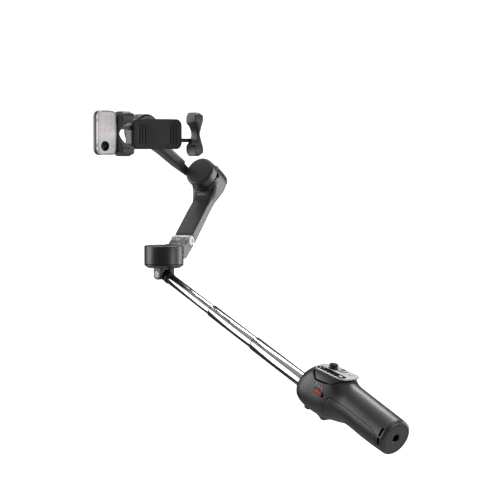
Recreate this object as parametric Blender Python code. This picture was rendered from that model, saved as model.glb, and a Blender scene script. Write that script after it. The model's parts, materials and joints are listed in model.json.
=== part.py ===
"""Hand-held phone gimbal: telescopic rod, folding arm, three motors, phone clamp and tracking module.

Units are millimetres in the constants and metres in the scene. The origin is the centre of the tripod
socket's mouth in the handle's end cap. +Z is up, +X is the user's right, and the phone's screen faces -Y.
The rod rises away from the user at ROD_TILT, and the pan axis stands upright above the rod's far end.
"""

import math

import bmesh
import bpy
from mathutils import Matrix, Vector

MM = 0.001
ROD_TILT = math.radians(24.0)
ARM_TURN = math.radians(17.0)
ROLL_TILT = math.radians(30.0)
PANEL_TILT = math.radians(9.5)
GAP = 0.3
SECTION_POINTS = 20
ROUND_SIDES = 20

# Handle, in its own frame: y runs forwards along the rod, z is up from the grip.
ROD_DROP = 9.4
PIN_REACH = 298.5
HEAD_FRONT = 104.0
SHELL_WALL = 1.5
# Stations of the handle's outside: y, half width, bottom, top, squareness.
HANDLE_STATIONS = (
    (2.4, 14.4, -14.5, 14.5, 2.05),
    (12.0, 14.0, -15.1, 14.9, 2.05),
    (30.0, 13.6, -15.2, 15.2, 2.1),
    (44.0, 13.2, -14.9, 15.5, 2.1),
    (50.0, 13.1, -15.4, 15.6, 2.15),
    (54.0, 13.1, -17.0, 15.7, 2.2),
    (60.0, 13.5, -18.8, 16.6, 2.4),
    (65.0, 14.1, -20.2, 18.8, 2.7),
    (74.0, 14.9, -22.1, 18.6, 2.8),
    (84.0, 15.0, -23.0, 17.2, 2.8),
    (92.0, 14.8, -23.0, 14.8, 2.7),
    (97.0, 14.1, -22.4, 10.6, 2.5),
    (101.2, 12.6, -20.9, 5.6, 2.4),
    (104.0, 10.2, -19.2, 1.2, 2.2),
)
NOSE_RADIUS = 8.4
LAMP_PLACES = (74.8, 78.1, 81.4)
LAMP_HEIGHT = 3.9
SLIDER_AT = (76.4, -0.9)
TRIGGER_PIN = (0.0, 80.0, -19.0)

# Detachable remote, in its own frame: the origin is the middle of the panel's top face.
REMOTE_CENTRE = (0.0, 76.5, 16.3)
PANEL_WIDTH = 22.0
PANEL_LENGTH = 34.0
PANEL_THICK = 1.4
PANEL_CORNER = 5.5
JOYSTICK_AT = (2.2, 7.5)
JOYSTICK_DEPTH = 1.2
JOYSTICK_HOLE = 4.2
WHEEL_AT = (5.0, -0.5)
WHEEL_HOLE = 3.9
MODE_AT = (5.8, -8.3)
MODE_HOLE = 3.2
TOUCH_AT = (-6.9, 0.0)
TOUCH_WIDTH = 6.2
TOUCH_LENGTH = 30.0
# The space inside the remote: its middle and length along the handle, and its width.
CAVITY_MIDDLE = 0.7
CAVITY_LENGTH = 15.4
CAVITY_WIDTH = 18.4

# Telescopic rod, measured back from the tilt pin.
TUBE_RADII = (4.5, 5.2, 5.9)
TUBE_WALL = 0.4
TUBE_MOUTHS = (9.0, 69.2, 127.4)
TUBE_ENDS = (75.0, 133.0, 199.0)
LINER_RADIUS = 6.2
LINER_END = 239.0

# Pan drum, measured up from the tilt pin.
DRUM_RADIUS = 16.9
DRUM_BOTTOM = 5.3
DRUM_SPLIT = 8.2
DRUM_TOP = 24.5
PHONE_LEFT = 2.7
PHONE_HEIGHT = 123.0
FORK_HALF = 8.0
TONGUE_HALF = 2.9

# Folding arm, in the upright plane of the arm: a is outwards, z is up from the fold pin.
FOLD_OUT = 29.9
FOLD_UP = 27.5
BARREL_RADIUS = 4.6
ARM_HALF = 9.1
EYE_HALF = 4.2
# How far round the fold pin the arm and the link each keep their inner side, from their own direction.
ARM_REACH = math.radians(26.0)
LINK_REACH = math.radians(50.0)
# The arm leaves the fold pin at this angle above the level.
ARM_SLOPE = math.radians(46.5)

# Roll motor, measured outwards from the phone's centre along its axis.
ROLL_FACE = 69.6
ROLL_SPLIT = 79.2
ROLL_BACK = 100.0
ROLL_RADIUS = 13.4
# The knee under the motor cup: distance down from the roll axis, half width, and its low and high face.
KNEE_STATIONS = (
    (1.0, 13.2, 79.8, 99.0),
    (6.0, 12.8, 80.4, 98.8),
    (13.0, 11.6, 84.2, 96.6),
    (20.0, 9.9, 84.8, 94.2),
    (26.0, 8.9, 85.2, 92.4),
)

# Clamp, measured from the phone's centre.
PHONE_HALF_WIDTH = 35.8
JAW_OUT = 43.2
JAW_OUT_LEFT = 46.3
JAW_LOW = -22.0
JAW_HIGH = 16.0
JAW_MID = -3.0
JAW_FRONT = -5.9
JAW_BACK = 10.0
LIP = 2.4
SLOT_FRONT = -4.3
SCOOP_RADIUS = 11.7
SWIVEL_RADIUS = 14.4
TRACKER_AT = (-56.7, 5.8, -2.2)
TRACKER_HALF = (9.7, 3.8, 18.8)
TRACKER_CORNER = 5.5
# The small camera in the module's face: its centre from the module's middle, and its radius.
LENS_AT = (-2.33, 0.0, -11.1)
LENS_RADIUS = 4.1

MATERIALS = {
    "dark_plastic": ((0.060, 0.060, 0.063, 1.0), 0.0, 0.48),
    "black_gloss": ((0.006, 0.006, 0.007, 1.0), 0.0, 0.12),
    "black_plastic": ((0.012, 0.012, 0.013, 1.0), 0.0, 0.5),
    "silver_plastic": ((0.56, 0.56, 0.57, 1.0), 0.35, 0.35),
    "tube_chrome": ((0.48, 0.48, 0.50, 1.0), 1.0, 0.18),
    "polished_pin": ((0.78, 0.78, 0.79, 1.0), 1.0, 0.2),
    "red_plastic": ((0.55, 0.03, 0.02, 1.0), 0.0, 0.4),
    "rubber_pad": ((0.02, 0.02, 0.02, 1.0), 0.0, 0.8),
    "copper_winding": ((0.55, 0.24, 0.09, 1.0), 1.0, 0.35),
    "magnet_metal": ((0.20, 0.20, 0.21, 1.0), 1.0, 0.35),
    "socket_metal": ((0.03, 0.03, 0.031, 1.0), 1.0, 0.42),
    "circuit_board": ((0.02, 0.10, 0.04, 1.0), 0.0, 0.5),
    "cell_wrap": ((0.05, 0.12, 0.30, 1.0), 0.0, 0.45),
    "lens_glass": ((0.01, 0.01, 0.015, 1.0), 0.0, 0.05),
    "lamp_lens": ((0.75, 0.75, 0.72, 1.0), 0.0, 0.3),
}


def clear_scene():
    for item in list(bpy.data.objects):
        bpy.data.objects.remove(item, do_unlink=True)


def make_material(slot):
    """One material per sub-part, named after its slot."""
    colour, metallic, roughness = MATERIALS[slot]
    material = bpy.data.materials.new(slot)
    material.use_nodes = True
    shader = material.node_tree.nodes["Principled BSDF"]
    shader.inputs["Base Color"].default_value = colour
    shader.inputs["Metallic"].default_value = metallic
    shader.inputs["Roughness"].default_value = roughness
    return material


# Frames


def axes_frame(origin, x_axis, y_axis, z_axis):
    """A frame whose origin is in millimetres."""
    frame = Matrix.Identity(4)
    for column, axis in enumerate((x_axis, y_axis, z_axis)):
        for row in range(3):
            frame[row][column] = axis[row]
    for row in range(3):
        frame[row][3] = origin[row] * MM
    return frame


RIGHT = Vector((1.0, 0.0, 0.0))
UP = Vector((0.0, 0.0, 1.0))
FORWARD = Vector((0.0, 1.0, 0.0))
ROD_AXIS = Vector((0.0, math.cos(ROD_TILT), math.sin(ROD_TILT)))
ROD_UP = Vector((0.0, -math.sin(ROD_TILT), math.cos(ROD_TILT)))
TILT_PIN = ROD_AXIS * PIN_REACH - ROD_UP * ROD_DROP
PHONE_CENTRE = TILT_PIN + UP * PHONE_HEIGHT - RIGHT * PHONE_LEFT
ARM_OUT = Vector((math.cos(ARM_TURN), math.sin(ARM_TURN), 0.0))
ARM_BACK = Vector((-math.sin(ARM_TURN), math.cos(ARM_TURN), 0.0))
FOLD_PIN = TILT_PIN + ARM_OUT * FOLD_OUT + UP * FOLD_UP
ROLL_AXIS = ARM_OUT * math.cos(ROLL_TILT) - UP * math.sin(ROLL_TILT)
ROLL_UP = ARM_OUT * math.sin(ROLL_TILT) + UP * math.cos(ROLL_TILT)
PANEL_FORWARD = ROD_AXIS * math.cos(PANEL_TILT) - ROD_UP * math.sin(PANEL_TILT)
PANEL_UP = ROD_AXIS * math.sin(PANEL_TILT) + ROD_UP * math.cos(PANEL_TILT)
PANEL_CENTRE = ROD_AXIS * REMOTE_CENTRE[1] + ROD_UP * REMOTE_CENTRE[2]

HANDLE = axes_frame((0, 0, 0), RIGHT, ROD_AXIS, ROD_UP)
ROD = axes_frame(TILT_PIN, RIGHT, ROD_AXIS, ROD_UP)
REMOTE = axes_frame(PANEL_CENTRE, RIGHT, PANEL_FORWARD, PANEL_UP)
PAN = axes_frame(TILT_PIN, RIGHT, FORWARD, UP)
ARM = axes_frame(FOLD_PIN, ARM_OUT, ARM_BACK, UP)
LINK = axes_frame(TILT_PIN, ARM_OUT, ARM_BACK, UP)
ROLL = axes_frame(PHONE_CENTRE, ARM_BACK, ROLL_UP, ROLL_AXIS)
CLAMP = axes_frame(PHONE_CENTRE, RIGHT, FORWARD, UP)
TRACKER = axes_frame(PHONE_CENTRE + Vector(TRACKER_AT), RIGHT, FORWARD, UP)


def moved(frame, offset):
    """The frame with its origin shifted by an offset in its own axes."""
    return frame @ Matrix.Translation(Vector(offset) * MM)


# Shapes: a shape is a list of points and a list of faces


def turned(profile, sides=ROUND_SIDES):
    """A profile of (radius, height) points turned about z. It is closed where its ends leave the axis."""
    points = []
    rings = []
    for radius, height in profile:
        ring = []
        for step in range(1 if radius == 0 else sides):
            angle = 2 * math.pi * step / sides
            ring.append(len(points))
            points.append((radius * math.cos(angle), radius * math.sin(angle), height))
        rings.append(ring)
    pairs = list(zip(rings, rings[1:]))
    if profile[0][0] > 0:
        pairs.append((rings[-1], rings[0]))
    faces = []
    for lower, upper in pairs:
        faces.extend(bridge(lower, upper, sides))
    return points, faces


def bridge(lower, upper, sides):
    faces = []
    for step in range(sides):
        after = (step + 1) % sides
        if len(lower) == 1 and len(upper) > 1:
            faces.append((lower[0], upper[after], upper[step]))
        elif len(upper) == 1 and len(lower) > 1:
            faces.append((lower[step], lower[after], upper[0]))
        elif len(lower) > 1:
            faces.append((lower[step], lower[after], upper[after], upper[step]))
    return faces


def loft(sections, ring=False):
    """Joins sections of equal point counts. A ring joins the last to the first instead of capping them."""
    count = len(sections[0])
    points = [point for section in sections for point in section]
    total = len(sections)
    faces = []
    for index in range(total if ring else total - 1):
        base = index * count
        above = (index + 1) % total * count
        for step in range(count):
            after = (step + 1) % count
            faces.append((base + step, base + after, above + after, above + step))
    if not ring:
        faces.append(tuple(reversed(range(count))))
        faces.append(tuple(range((total - 1) * count, total * count)))
    return points, faces


def rounded_rectangle(width, height, corner, steps=3):
    outline = []
    for turn, (sign_x, sign_y) in enumerate(((1, 1), (-1, 1), (-1, -1), (1, -1))):
        for step in range(steps + 1):
            angle = math.pi / 2 * (turn + step / steps)
            x = sign_x * (width / 2 - corner) + corner * math.cos(angle)
            y = sign_y * (height / 2 - corner) + corner * math.sin(angle)
            outline.append((x, y))
    return outline


def circle(radius, sides=ROUND_SIDES, centre=(0.0, 0.0)):
    outline = []
    for step in range(sides):
        angle = 2 * math.pi * step / sides
        outline.append((centre[0] + radius * math.cos(angle), centre[1] + radius * math.sin(angle)))
    return outline


def inset(outline, amount):
    """Moves each edge of a counter-clockwise outline inwards."""
    moved_points = []
    count = len(outline)
    for index in range(count):
        before = Vector(outline[index - 1])
        here = Vector(outline[index])
        after = Vector(outline[(index + 1) % count])
        first = (here - before).normalized()
        second = (after - here).normalized()
        normal = Vector((-first.y - second.y, first.x + second.x)).normalized()
        slope = max(0.35, Vector((-first.y, first.x)).dot(normal))
        moved_points.append(tuple(here + normal * (amount / slope)))
    return moved_points


def prism(outline, low, high, chamfer=0.0):
    """An outline in x and y, extruded from low to high, with an optional chamfer on both ends."""
    if chamfer == 0.0:
        return loft([[(x, y, low) for x, y in outline], [(x, y, high) for x, y in outline]])
    small = inset(outline, chamfer)
    levels = ((small, low), (outline, low + chamfer), (outline, high - chamfer), (small, high))
    return loft([[(x, y, level) for x, y in points] for points, level in levels])


def frame_prism(outer, inner, low, high):
    """A closed band between two outlines of equal point counts."""
    corners = ((outer, low), (outer, high), (inner, high), (inner, low))
    return loft([[(x, y, level) for x, y in points] for points, level in corners], ring=True)


def block(low, high):
    """A box between two opposite corners."""
    outline = [(low[0], low[1]), (high[0], low[1]), (high[0], high[1]), (low[0], high[1])]
    return prism(outline, low[2], high[2])


def along_x(shape):
    """Turns a shape so that its z runs along x."""
    return [(z, x, y) for x, y, z in shape[0]], shape[1]


def along_y(shape):
    """Turns a shape so that its z runs along y, and its y runs along -z."""
    return [(x, z, -y) for x, y, z in shape[0]], shape[1]


def upright(shape):
    """Turns a shape so that its outline's y runs along z, and its z runs along -y."""
    return [(x, -z, y) for x, y, z in shape[0]], shape[1]


def shifted(shape, offset):
    return [(x + offset[0], y + offset[1], z + offset[2]) for x, y, z in shape[0]], shape[1]


# Objects


def add(name, frame, shape, slot):
    """A visible sub-part with its own material."""
    part = mesh_object(name, frame, shape)
    part.data.materials.append(make_material(slot))
    part.data.shade_smooth()
    part.data.set_sharp_from_angle(angle=math.radians(35.0))
    return part


def mesh_object(name, frame, shape):
    points, faces = shape
    mesh = bpy.data.meshes.new(name)
    mesh.from_pydata([tuple(value * MM for value in point) for point in points], [], faces)
    work = bmesh.new()
    work.from_mesh(mesh)
    bmesh.ops.recalc_face_normals(work, faces=work.faces)
    work.to_mesh(mesh)
    work.free()
    item = bpy.data.objects.new(name, mesh)
    item.matrix_world = frame
    bpy.context.scene.collection.objects.link(item)
    return item


def combine(part, operation, frame, shape):
    """Adds a Boolean with a hidden helper solid."""
    helper = mesh_object(f"{part.name}.tool.{len(part.modifiers)}", frame, shape)
    helper.hide_render = True
    helper.display_type = "WIRE"
    modifier = part.modifiers.new(operation.lower(), "BOOLEAN")
    modifier.operation = operation
    modifier.solver = "EXACT"
    modifier.object = helper


def cut(part, frame, shape):
    combine(part, "DIFFERENCE", frame, shape)


def unite(part, frame, shape):
    combine(part, "UNION", frame, shape)


def keep(part, frame, shape):
    combine(part, "INTERSECT", frame, shape)


# Handle


def handle_section(station, wall=0.0):
    """The handle's cross-section at a station, moved inwards by the wall."""
    y, half, bottom, top, power = station
    middle = (bottom + top) / 2
    height = (top - bottom) / 2 - wall
    width = half - wall
    section = []
    for step in range(SECTION_POINTS):
        angle = 2 * math.pi * step / SECTION_POINTS
        x = math.copysign(abs(math.cos(angle)) ** (2 / power), math.cos(angle)) * width
        z = math.copysign(abs(math.sin(angle)) ** (2 / power), math.sin(angle)) * height
        section.append((x, y, z + middle))
    return section


def nose_section(y, radius):
    return [(x, y, z - ROD_DROP) for x, z in circle(radius, SECTION_POINTS)]


def handle_wall():
    """The hollow handle, open at the back and round the rod at the front."""
    outer = [handle_section(station) for station in HANDLE_STATIONS]
    nose = [nose_section(HEAD_FRONT, NOSE_RADIUS), nose_section(HEAD_FRONT - 2.0, NOSE_RADIUS)]
    inner = [handle_section(station, SHELL_WALL) for station in reversed(HANDLE_STATIONS[:-2])]
    return loft(outer + nose + inner, ring=True)


def cover_zone(gap):
    """The side view of the grip cover, extruded across the handle."""
    outline = [(67.4, -32.0), (67.4, -5.6), (66.4, -1.6), (63.6, 0.8), (60.0, 1.6), (40.0, 2.6)]
    outline += [(15.0, 2.2), (10.8, 0.8), (8.6, -2.4), (7.6, -8.0), (7.2, -32.0)]
    return along_x(prism(inset(outline, gap), -20.0, 20.0))


def remote_zone(gap, front_gap):
    """The side view of the detachable remote, extruded across the handle, in the remote's frame."""
    under = gap + front_gap * 0.4
    outline = [(-17.0 - gap, 9.0), (-17.0 - gap, -1.2 - gap), (-8.0 - gap, -6.9 - gap)]
    outline += [(-5.0, -7.0 - gap), (-3.6, -7.04 - under), (7.8 + front_gap * 0.4, -7.4 - under)]
    outline += [(14.0 + front_gap, -1.8 - gap), (17.0 + gap, -1.5 - gap), (17.0 + gap, 9.0)]
    return along_x(prism(outline, -20.0, 20.0))


def capsule(length, width, low, high, steps=4):
    return prism(rounded_rectangle(width, length, width / 2 - 0.01, steps), low, high)


def side_capsule(at, length, height, low, high, side):
    """A capsule on the handle's side: at is (y, z), and low to high is measured outwards across it."""
    points, faces = capsule(length, height, low, high)
    return [(side * z, y + at[0], x + at[1]) for x, y, z in points], faces


def handle_shell():
    """The shell with its openings: remote, trigger, front button, power slider, port, strap slots, lamps."""
    shell = add("handle_shell", HANDLE, handle_wall(), "dark_plastic")
    cut(shell, HANDLE, cover_zone(-0.05))
    cut(shell, REMOTE, remote_zone(0.5, 2.4))
    cut(shell, HANDLE, block((-4.4, 69.2, -30.0), (4.4, 81.5, -18.0)))
    cut(shell, HANDLE, block((-3.6, 91.2, -30.0), (3.6, 97.2, -18.0)))
    cut(shell, HANDLE, side_capsule((75.3, -0.9), 11.0, 3.9, 12.0, 20.0, -1))
    cut(shell, HANDLE, side_capsule((74.0, -6.0), 9.8, 4.0, 12.0, 20.0, 1))
    cut(shell, HANDLE, block((-16.0, 3.6, 0.7), (-10.6, 6.0, 7.6)))
    cut(shell, HANDLE, block((-16.0, 3.6, -7.0), (-10.6, 6.0, -0.7)))
    for y in LAMP_PLACES:
        cut(shell, HANDLE, along_x(prism(circle(0.75, 6, (y, LAMP_HEIGHT)), -17.0, -11.0)))


def grip_cover():
    cover = add("grip_cover", HANDLE, handle_wall(), "dark_plastic")
    keep(cover, HANDLE, cover_zone(0.2))


def end_cap():
    """The round end cap, with a bore in its middle for the socket's nut."""
    profile = [(3.3, 0.0), (13.2, 0.0), (14.4, 0.8), (14.6, 2.0), (12.2, 2.0), (12.2, 5.0)]
    profile += [(5.6, 5.0), (5.6, 1.4), (3.3, 1.4)]
    add("end_cap", HANDLE, along_y(turned(profile, 24)), "dark_plastic")


def tripod_nut():
    """The quarter inch socket, with a plain bore of the thread's minor diameter."""
    profile = [(2.7, 1.8), (5.2, 1.8), (5.2, 8.0), (2.7, 8.0)]
    add("tripod_nut", HANDLE, along_y(turned(profile)), "socket_metal")


def rod_liner():
    """The thin sleeve inside the handle that the largest tube slides in."""
    front = PIN_REACH - HEAD_FRONT + 0.4
    profile = [(LINER_RADIUS, front), (LINER_RADIUS + 0.8, front), (LINER_RADIUS + 0.8, LINER_END)]
    profile += [(LINER_RADIUS, LINER_END)]
    add("rod_liner", ROD, back_along_rod(turned(profile)), "black_plastic")


def back_along_rod(shape):
    """Turns a shape about z so that its z runs back from the tilt pin towards the user."""
    return [(x, -z, y) for x, y, z in shape[0]], shape[1]


def nose_ring():
    """The wiper ring where the rod leaves the handle."""
    front = PIN_REACH - HEAD_FRONT
    profile = [(7.2, front - 0.6), (8.0, front - 0.6), (8.0, front + 1.4), (7.2, front + 1.4)]
    add("nose_ring", ROD, back_along_rod(turned(profile)), "black_plastic")


def battery_cell():
    """A round cell in the grip, with its raised contact at the front."""
    profile = [(0.0, 9.6), (8.2, 9.6), (9.0, 10.4), (9.0, 43.0), (4.0, 43.0), (4.0, 43.8), (0.0, 43.8)]
    add("battery_cell", HANDLE, along_y(turned(profile, 16)), "cell_wrap")


def main_board():
    add("main_board", HANDLE, block((-9.5, 46.0, -1.6), (9.5, 92.0, -0.4)), "circuit_board")


def dock_plate():
    """The plate under the remote that carries its contacts."""
    outline = rounded_rectangle(20.0, 24.0, 3.0)
    plate = shifted(prism(outline, -10.4, -9.0), (0.0, -4.5, 0.0))
    add("dock_plate", REMOTE, plate, "black_plastic")


def usb_port():
    outer = rounded_rectangle(3.4, 9.2, 1.6)
    inner = rounded_rectangle(2.6, 8.4, 1.2)
    points, faces = frame_prism(outer, inner, 7.4, 13.9)
    add("usb_port", HANDLE, ([(z, y + 74.0, x - 6.0) for x, y, z in points], faces), "polished_pin")


def indicator_lens():
    """A light guide: one bar behind the wall with three short pins through it."""
    lens = add("indicator_lens", HANDLE, block((-12.2, 73.8, 2.9), (-11.4, 82.4, 4.9)), "lamp_lens")
    for y in LAMP_PLACES:
        unite(lens, HANDLE, along_x(prism(circle(0.45, 6, (y, LAMP_HEIGHT)), -14.7, -11.6)))


def power_slider():
    """The power switch's grip, with the tongue behind it that reaches the switch."""
    slider = add("power_slider", HANDLE, side_capsule(SLIDER_AT, 8.2, 3.2, 12.9, 15.1, -1), "red_plastic")
    unite(slider, HANDLE, block((-13.2, 75.2, -1.7), (-11.4, 77.6, -0.1)))


def trigger():
    """The trigger's side view, extruded across. It turns about a pin at its front end."""
    outline = [(1.0, 1.2), (-9.8, 0.8), (-10.0, -3.4), (-7.8, -6.2), (-4.8, -6.5), (-1.4, -5.4), (1.0, -4.9)]
    frame = moved(HANDLE, TRIGGER_PIN)
    add("trigger", frame, along_x(prism(outline, -4.0, 4.0, 0.6)), "dark_plastic")


def underside_button():
    frame = moved(HANDLE, (0.0, 94.2, -26.6))
    add("underside_button", frame, prism(rounded_rectangle(6.4, 5.2, 1.2), 0.0, 6.0, 0.5), "black_plastic")


# Remote


def outer_body():
    return loft([handle_section(station) for station in HANDLE_STATIONS])


def cavity(margin):
    """The outline of the space inside the remote, made smaller by a margin."""
    outline = rounded_rectangle(CAVITY_WIDTH - 2 * margin, CAVITY_LENGTH - 2 * margin, 3.0)
    return [(x, y + CAVITY_MIDDLE) for x, y in outline]


def remote_case():
    """The remote's body under its panel, hollowed for the board, with wells for the stick and a button."""
    case = add("remote_case", HANDLE, outer_body(), "dark_plastic")
    keep(case, REMOTE, remote_zone(0.0, 0.0))
    cut(case, REMOTE, block((-25.0, -30.0, -PANEL_THICK), (25.0, 30.0, 20.0)))
    cut(case, REMOTE, prism(cavity(0.0), -5.6, 2.0))
    cut(case, REMOTE, prism(circle(JOYSTICK_HOLE + 0.1, 16, JOYSTICK_AT), -3.5, 2.0))
    cut(case, REMOTE, prism(circle(MODE_HOLE, 16, MODE_AT), -2.7, 2.0))


def panel_hole(panel, at, radius):
    cut(panel, REMOTE, prism(circle(radius, 16, at), -3.0, 3.0))


def remote_panel():
    outline = rounded_rectangle(PANEL_WIDTH, PANEL_LENGTH, PANEL_CORNER, 4)
    panel = add("remote_panel", REMOTE, prism(outline, -PANEL_THICK + 0.05, 0.0, 0.3), "silver_plastic")
    panel_hole(panel, JOYSTICK_AT, JOYSTICK_HOLE)
    panel_hole(panel, WHEEL_AT, WHEEL_HOLE)
    panel_hole(panel, MODE_AT, MODE_HOLE)
    cut(panel, moved(REMOTE, (*TOUCH_AT, 0.0)), capsule(TOUCH_LENGTH + 0.4, TOUCH_WIDTH + 0.4, -0.7, 3.0))


def touch_strip():
    strip = capsule(TOUCH_LENGTH, TOUCH_WIDTH, -0.65, 0.15)
    add("touch_strip", moved(REMOTE, (*TOUCH_AT, 0.0)), strip, "black_gloss")


def joystick():
    """A gimbal ring that tips one way, and a stick in it that tips the other way."""
    frame = moved(REMOTE, (*JOYSTICK_AT, -JOYSTICK_DEPTH))
    ring = [(3.1, -0.9), (3.9, -0.9), (3.9, 0.9), (3.1, 0.9)]
    add("joystick_ring", frame, turned(ring, 16), "black_plastic")
    stick = [(0.0, -1.6), (1.6, -1.6), (2.6, -0.8), (2.6, 0.6), (1.5, 1.4), (1.5, 2.3), (0.0, 2.3)]
    add("joystick_stick", frame, turned(stick, 16), "black_plastic")
    cap = [(0.0, 2.4), (2.8, 2.4), (3.7, 3.1), (3.7, 4.1), (2.8, 5.0), (1.6, 4.7), (0.0, 4.5)]
    add("joystick_cap", frame, turned(cap, 16), "rubber_pad")


def remote_buttons():
    """The zoom wheel, the button in its middle and the round mode button behind it."""
    wheel_frame = moved(REMOTE, (*WHEEL_AT, 0.0))
    wheel = [(2.2, -1.2), (3.6, -1.2), (3.6, 0.4), (3.2, 0.9), (2.5, 0.9), (2.2, 0.5)]
    add("zoom_wheel", wheel_frame, turned(wheel, 20), "silver_plastic")
    centre = [(0.0, -1.6), (1.9, -1.6), (1.9, 0.3), (1.5, 0.6), (0.0, 0.6)]
    add("wheel_button", wheel_frame, turned(centre, 12), "dark_plastic")
    mode = [(0.0, -1.6), (2.9, -1.6), (2.9, 0.3), (2.5, 0.6), (0.0, 0.6)]
    add("mode_button", moved(REMOTE, (*MODE_AT, 0.0)), turned(mode, 16), "silver_plastic")


def remote_board():
    add("remote_board", REMOTE, prism(cavity(0.6), -5.2, -4.2), "circuit_board")


# Telescopic rod


def tubes():
    for number, (radius, mouth, end) in enumerate(zip(TUBE_RADII, TUBE_MOUTHS, TUBE_ENDS), start=1):
        bore = radius - TUBE_WALL
        profile = [(bore, mouth), (radius - 0.15, mouth), (radius, mouth + 0.5), (radius, end), (bore, end)]
        add(f"tube_{number}", ROD, back_along_rod(turned(profile)), "tube_chrome")


def rod_head():
    """The dark end fitting of the first tube: a tongue round the tilt pin, a collar and a plug."""
    profile = [(0.0, 5.6), (4.2, 5.6), (5.1, 6.4), (5.1, 8.8), (3.8, 8.8), (3.8, 17.0), (0.0, 17.0)]
    head = add("rod_head", ROD, back_along_rod(turned(profile)), "black_plastic")
    tongue = [(4.2, 0.0), (3.0, 3.0), (0.0, 4.2), (-7.0, 4.0), (-7.0, -4.0), (0.0, -4.2), (3.0, -3.0)]
    unite(head, ROD, along_x(prism(tongue, -TONGUE_HALF, TONGUE_HALF)))
    cut(head, ROD, along_x(prism(circle(1.9, 16), -6.0, 6.0)))


# Pan motor and its fork


def fork_base():
    """The fixed lower ring of the drum, its bearing post and the two cheeks of the tilt hinge."""
    profile = [(0.0, DRUM_BOTTOM), (13.6, DRUM_BOTTOM), (DRUM_RADIUS, DRUM_SPLIT - 0.6)]
    profile += [(DRUM_RADIUS, DRUM_SPLIT), (13.0, DRUM_SPLIT), (13.0, 7.0), (4.6, 7.0), (4.6, 16.0)]
    profile += [(3.9, 16.0), (3.9, 7.6), (0.0, 7.6)]
    base = add("fork_base", PAN, turned(profile), "dark_plastic")
    cheek = [(4.6, 6.2), (-4.6, 6.2), (-4.6, -1.6), (-3.2, -4.0), (0.0, -4.9), (3.2, -4.0), (4.6, -1.6)]
    for side in (-1, 1):
        inner, outer = sorted((side * 3.3, side * FORK_HALF))
        unite(base, PAN, along_x(prism(cheek, inner, outer)))
    cut(base, PAN, along_x(prism(circle(1.9, 16), -10.0, 10.0)))
    for side in (-1, 1):
        low, high = sorted((side * 7.0, side * 9.0))
        cut(base, PAN, along_x(prism(circle(3.5, 16), low, high)))


def tilt_pin():
    """The hinge pin, with a polished head let into each cheek."""
    end = FORK_HALF + 0.2
    profile = [(0.0, -end), (2.9, -end), (3.2, 0.3 - end), (3.2, -7.1), (1.6, -7.1), (1.6, 7.1)]
    profile += [(3.2, 7.1), (3.2, end - 0.3), (2.9, end), (0.0, end)]
    add("tilt_pin", PAN, along_x(turned(profile, 16)), "polished_pin")


def toothed(outer, waist, teeth):
    """A toothed outline. Each tooth fills 0.55 of its pitch at the top, and its flanks take the next 0.07."""
    outline = []
    for tooth in range(teeth):
        start = 2 * math.pi * tooth / teeth
        for radius, share in ((outer, 0.0), (outer, 0.55), (waist, 0.62), (waist, 0.93)):
            angle = start + share * 2 * math.pi / teeth
            outline.append((radius * math.cos(angle), radius * math.sin(angle)))
    return outline


def stator(name, frame, low, high, outer):
    """Laminated stator with nine poles round the motor's post."""
    ring = frame_prism(toothed(outer, outer - 2.6, 9), circle(4.9, 36), low, high)
    add(name, frame, ring, "copper_winding")


def pan_motor():
    """The drum's motor: stator on the fork's post, magnet ring and shaft on the turning cap."""
    stator("pan_stator", PAN, 8.6, 15.4, 11.2)
    magnets = [(12.0, 9.4), (14.3, 9.4), (14.3, 20.0), (12.0, 20.0)]
    add("pan_magnet_ring", PAN, turned(magnets), "magnet_metal")
    shaft = [(0.0, 8.2), (2.4, 8.2), (2.4, 22.6), (0.0, 22.6)]
    add("pan_shaft", PAN, turned(shaft, 16), "polished_pin")
    race = [(2.6, 12.2), (3.7, 12.2), (3.7, 15.8), (2.6, 15.8)]
    add("pan_bearing", PAN, turned(race, 16), "magnet_metal")


def pan_housing():
    """The turning cap of the drum."""
    profile = [(0.0, 22.9), (14.7, 22.9), (14.7, 8.7), (DRUM_RADIUS, 8.7), (DRUM_RADIUS, DRUM_TOP - 0.7)]
    profile += [(DRUM_RADIUS - 0.7, DRUM_TOP), (0.0, DRUM_TOP)]
    add("pan_housing", PAN, turned(profile), "dark_plastic")


def lower_link():
    """The short link on the drum's side. Its top end is hollowed round the fold barrel."""
    outline = [(13.0, 24.8), (16.5, 12.4), (21.4, 12.4), (33.8, 23.4), (30.4, 27.0), (25.6, 29.6)]
    outline.append((20.4, 24.8))
    link = add("lower_link", LINK, upright(prism(outline, -ARM_HALF, ARM_HALF, 0.7)), "dark_plastic")
    drum = DRUM_RADIUS + 0.5
    cut(link, LINK, turned([(0.0, -2.0), (drum, -2.0), (drum, DRUM_TOP + GAP), (0.0, DRUM_TOP + GAP)]))
    cut(link, ARM, across(BARREL_RADIUS + GAP, -12.0, 12.0))
    cut(link, ARM, fold_relief(-1, LINK_REACH))


def across(radius, low, high, sides=ROUND_SIDES):
    """A cylinder along the fold pin."""
    return upright(prism(circle(radius, sides), -high, -low))


def fold_relief(side, reach):
    """The wedge taken off the inner side, so that the arm can fold inwards over the drum.

    Side is 1 for the arm and -1 for the link. Reach is the angle from that piece's own direction, past
    which nothing of it is left on the inner side.
    """
    forward = Vector((math.cos(ARM_SLOPE), math.sin(ARM_SLOPE))) * side
    inward = Vector((-math.sin(ARM_SLOPE), math.cos(ARM_SLOPE)))
    tip = Vector((math.cos(reach), math.sin(reach))) * 16.0
    corners = [(0.0, 0.0), (tip.x, tip.y), (tip.x - 8.0, 16.0), (-14.0, 16.0), (-14.0, 0.0)]
    outline = [tuple(forward * a + inward * b) for a, b in corners]
    if side < 0:
        outline.reverse()
    return upright(prism(outline, -12.0, 12.0))


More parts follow.
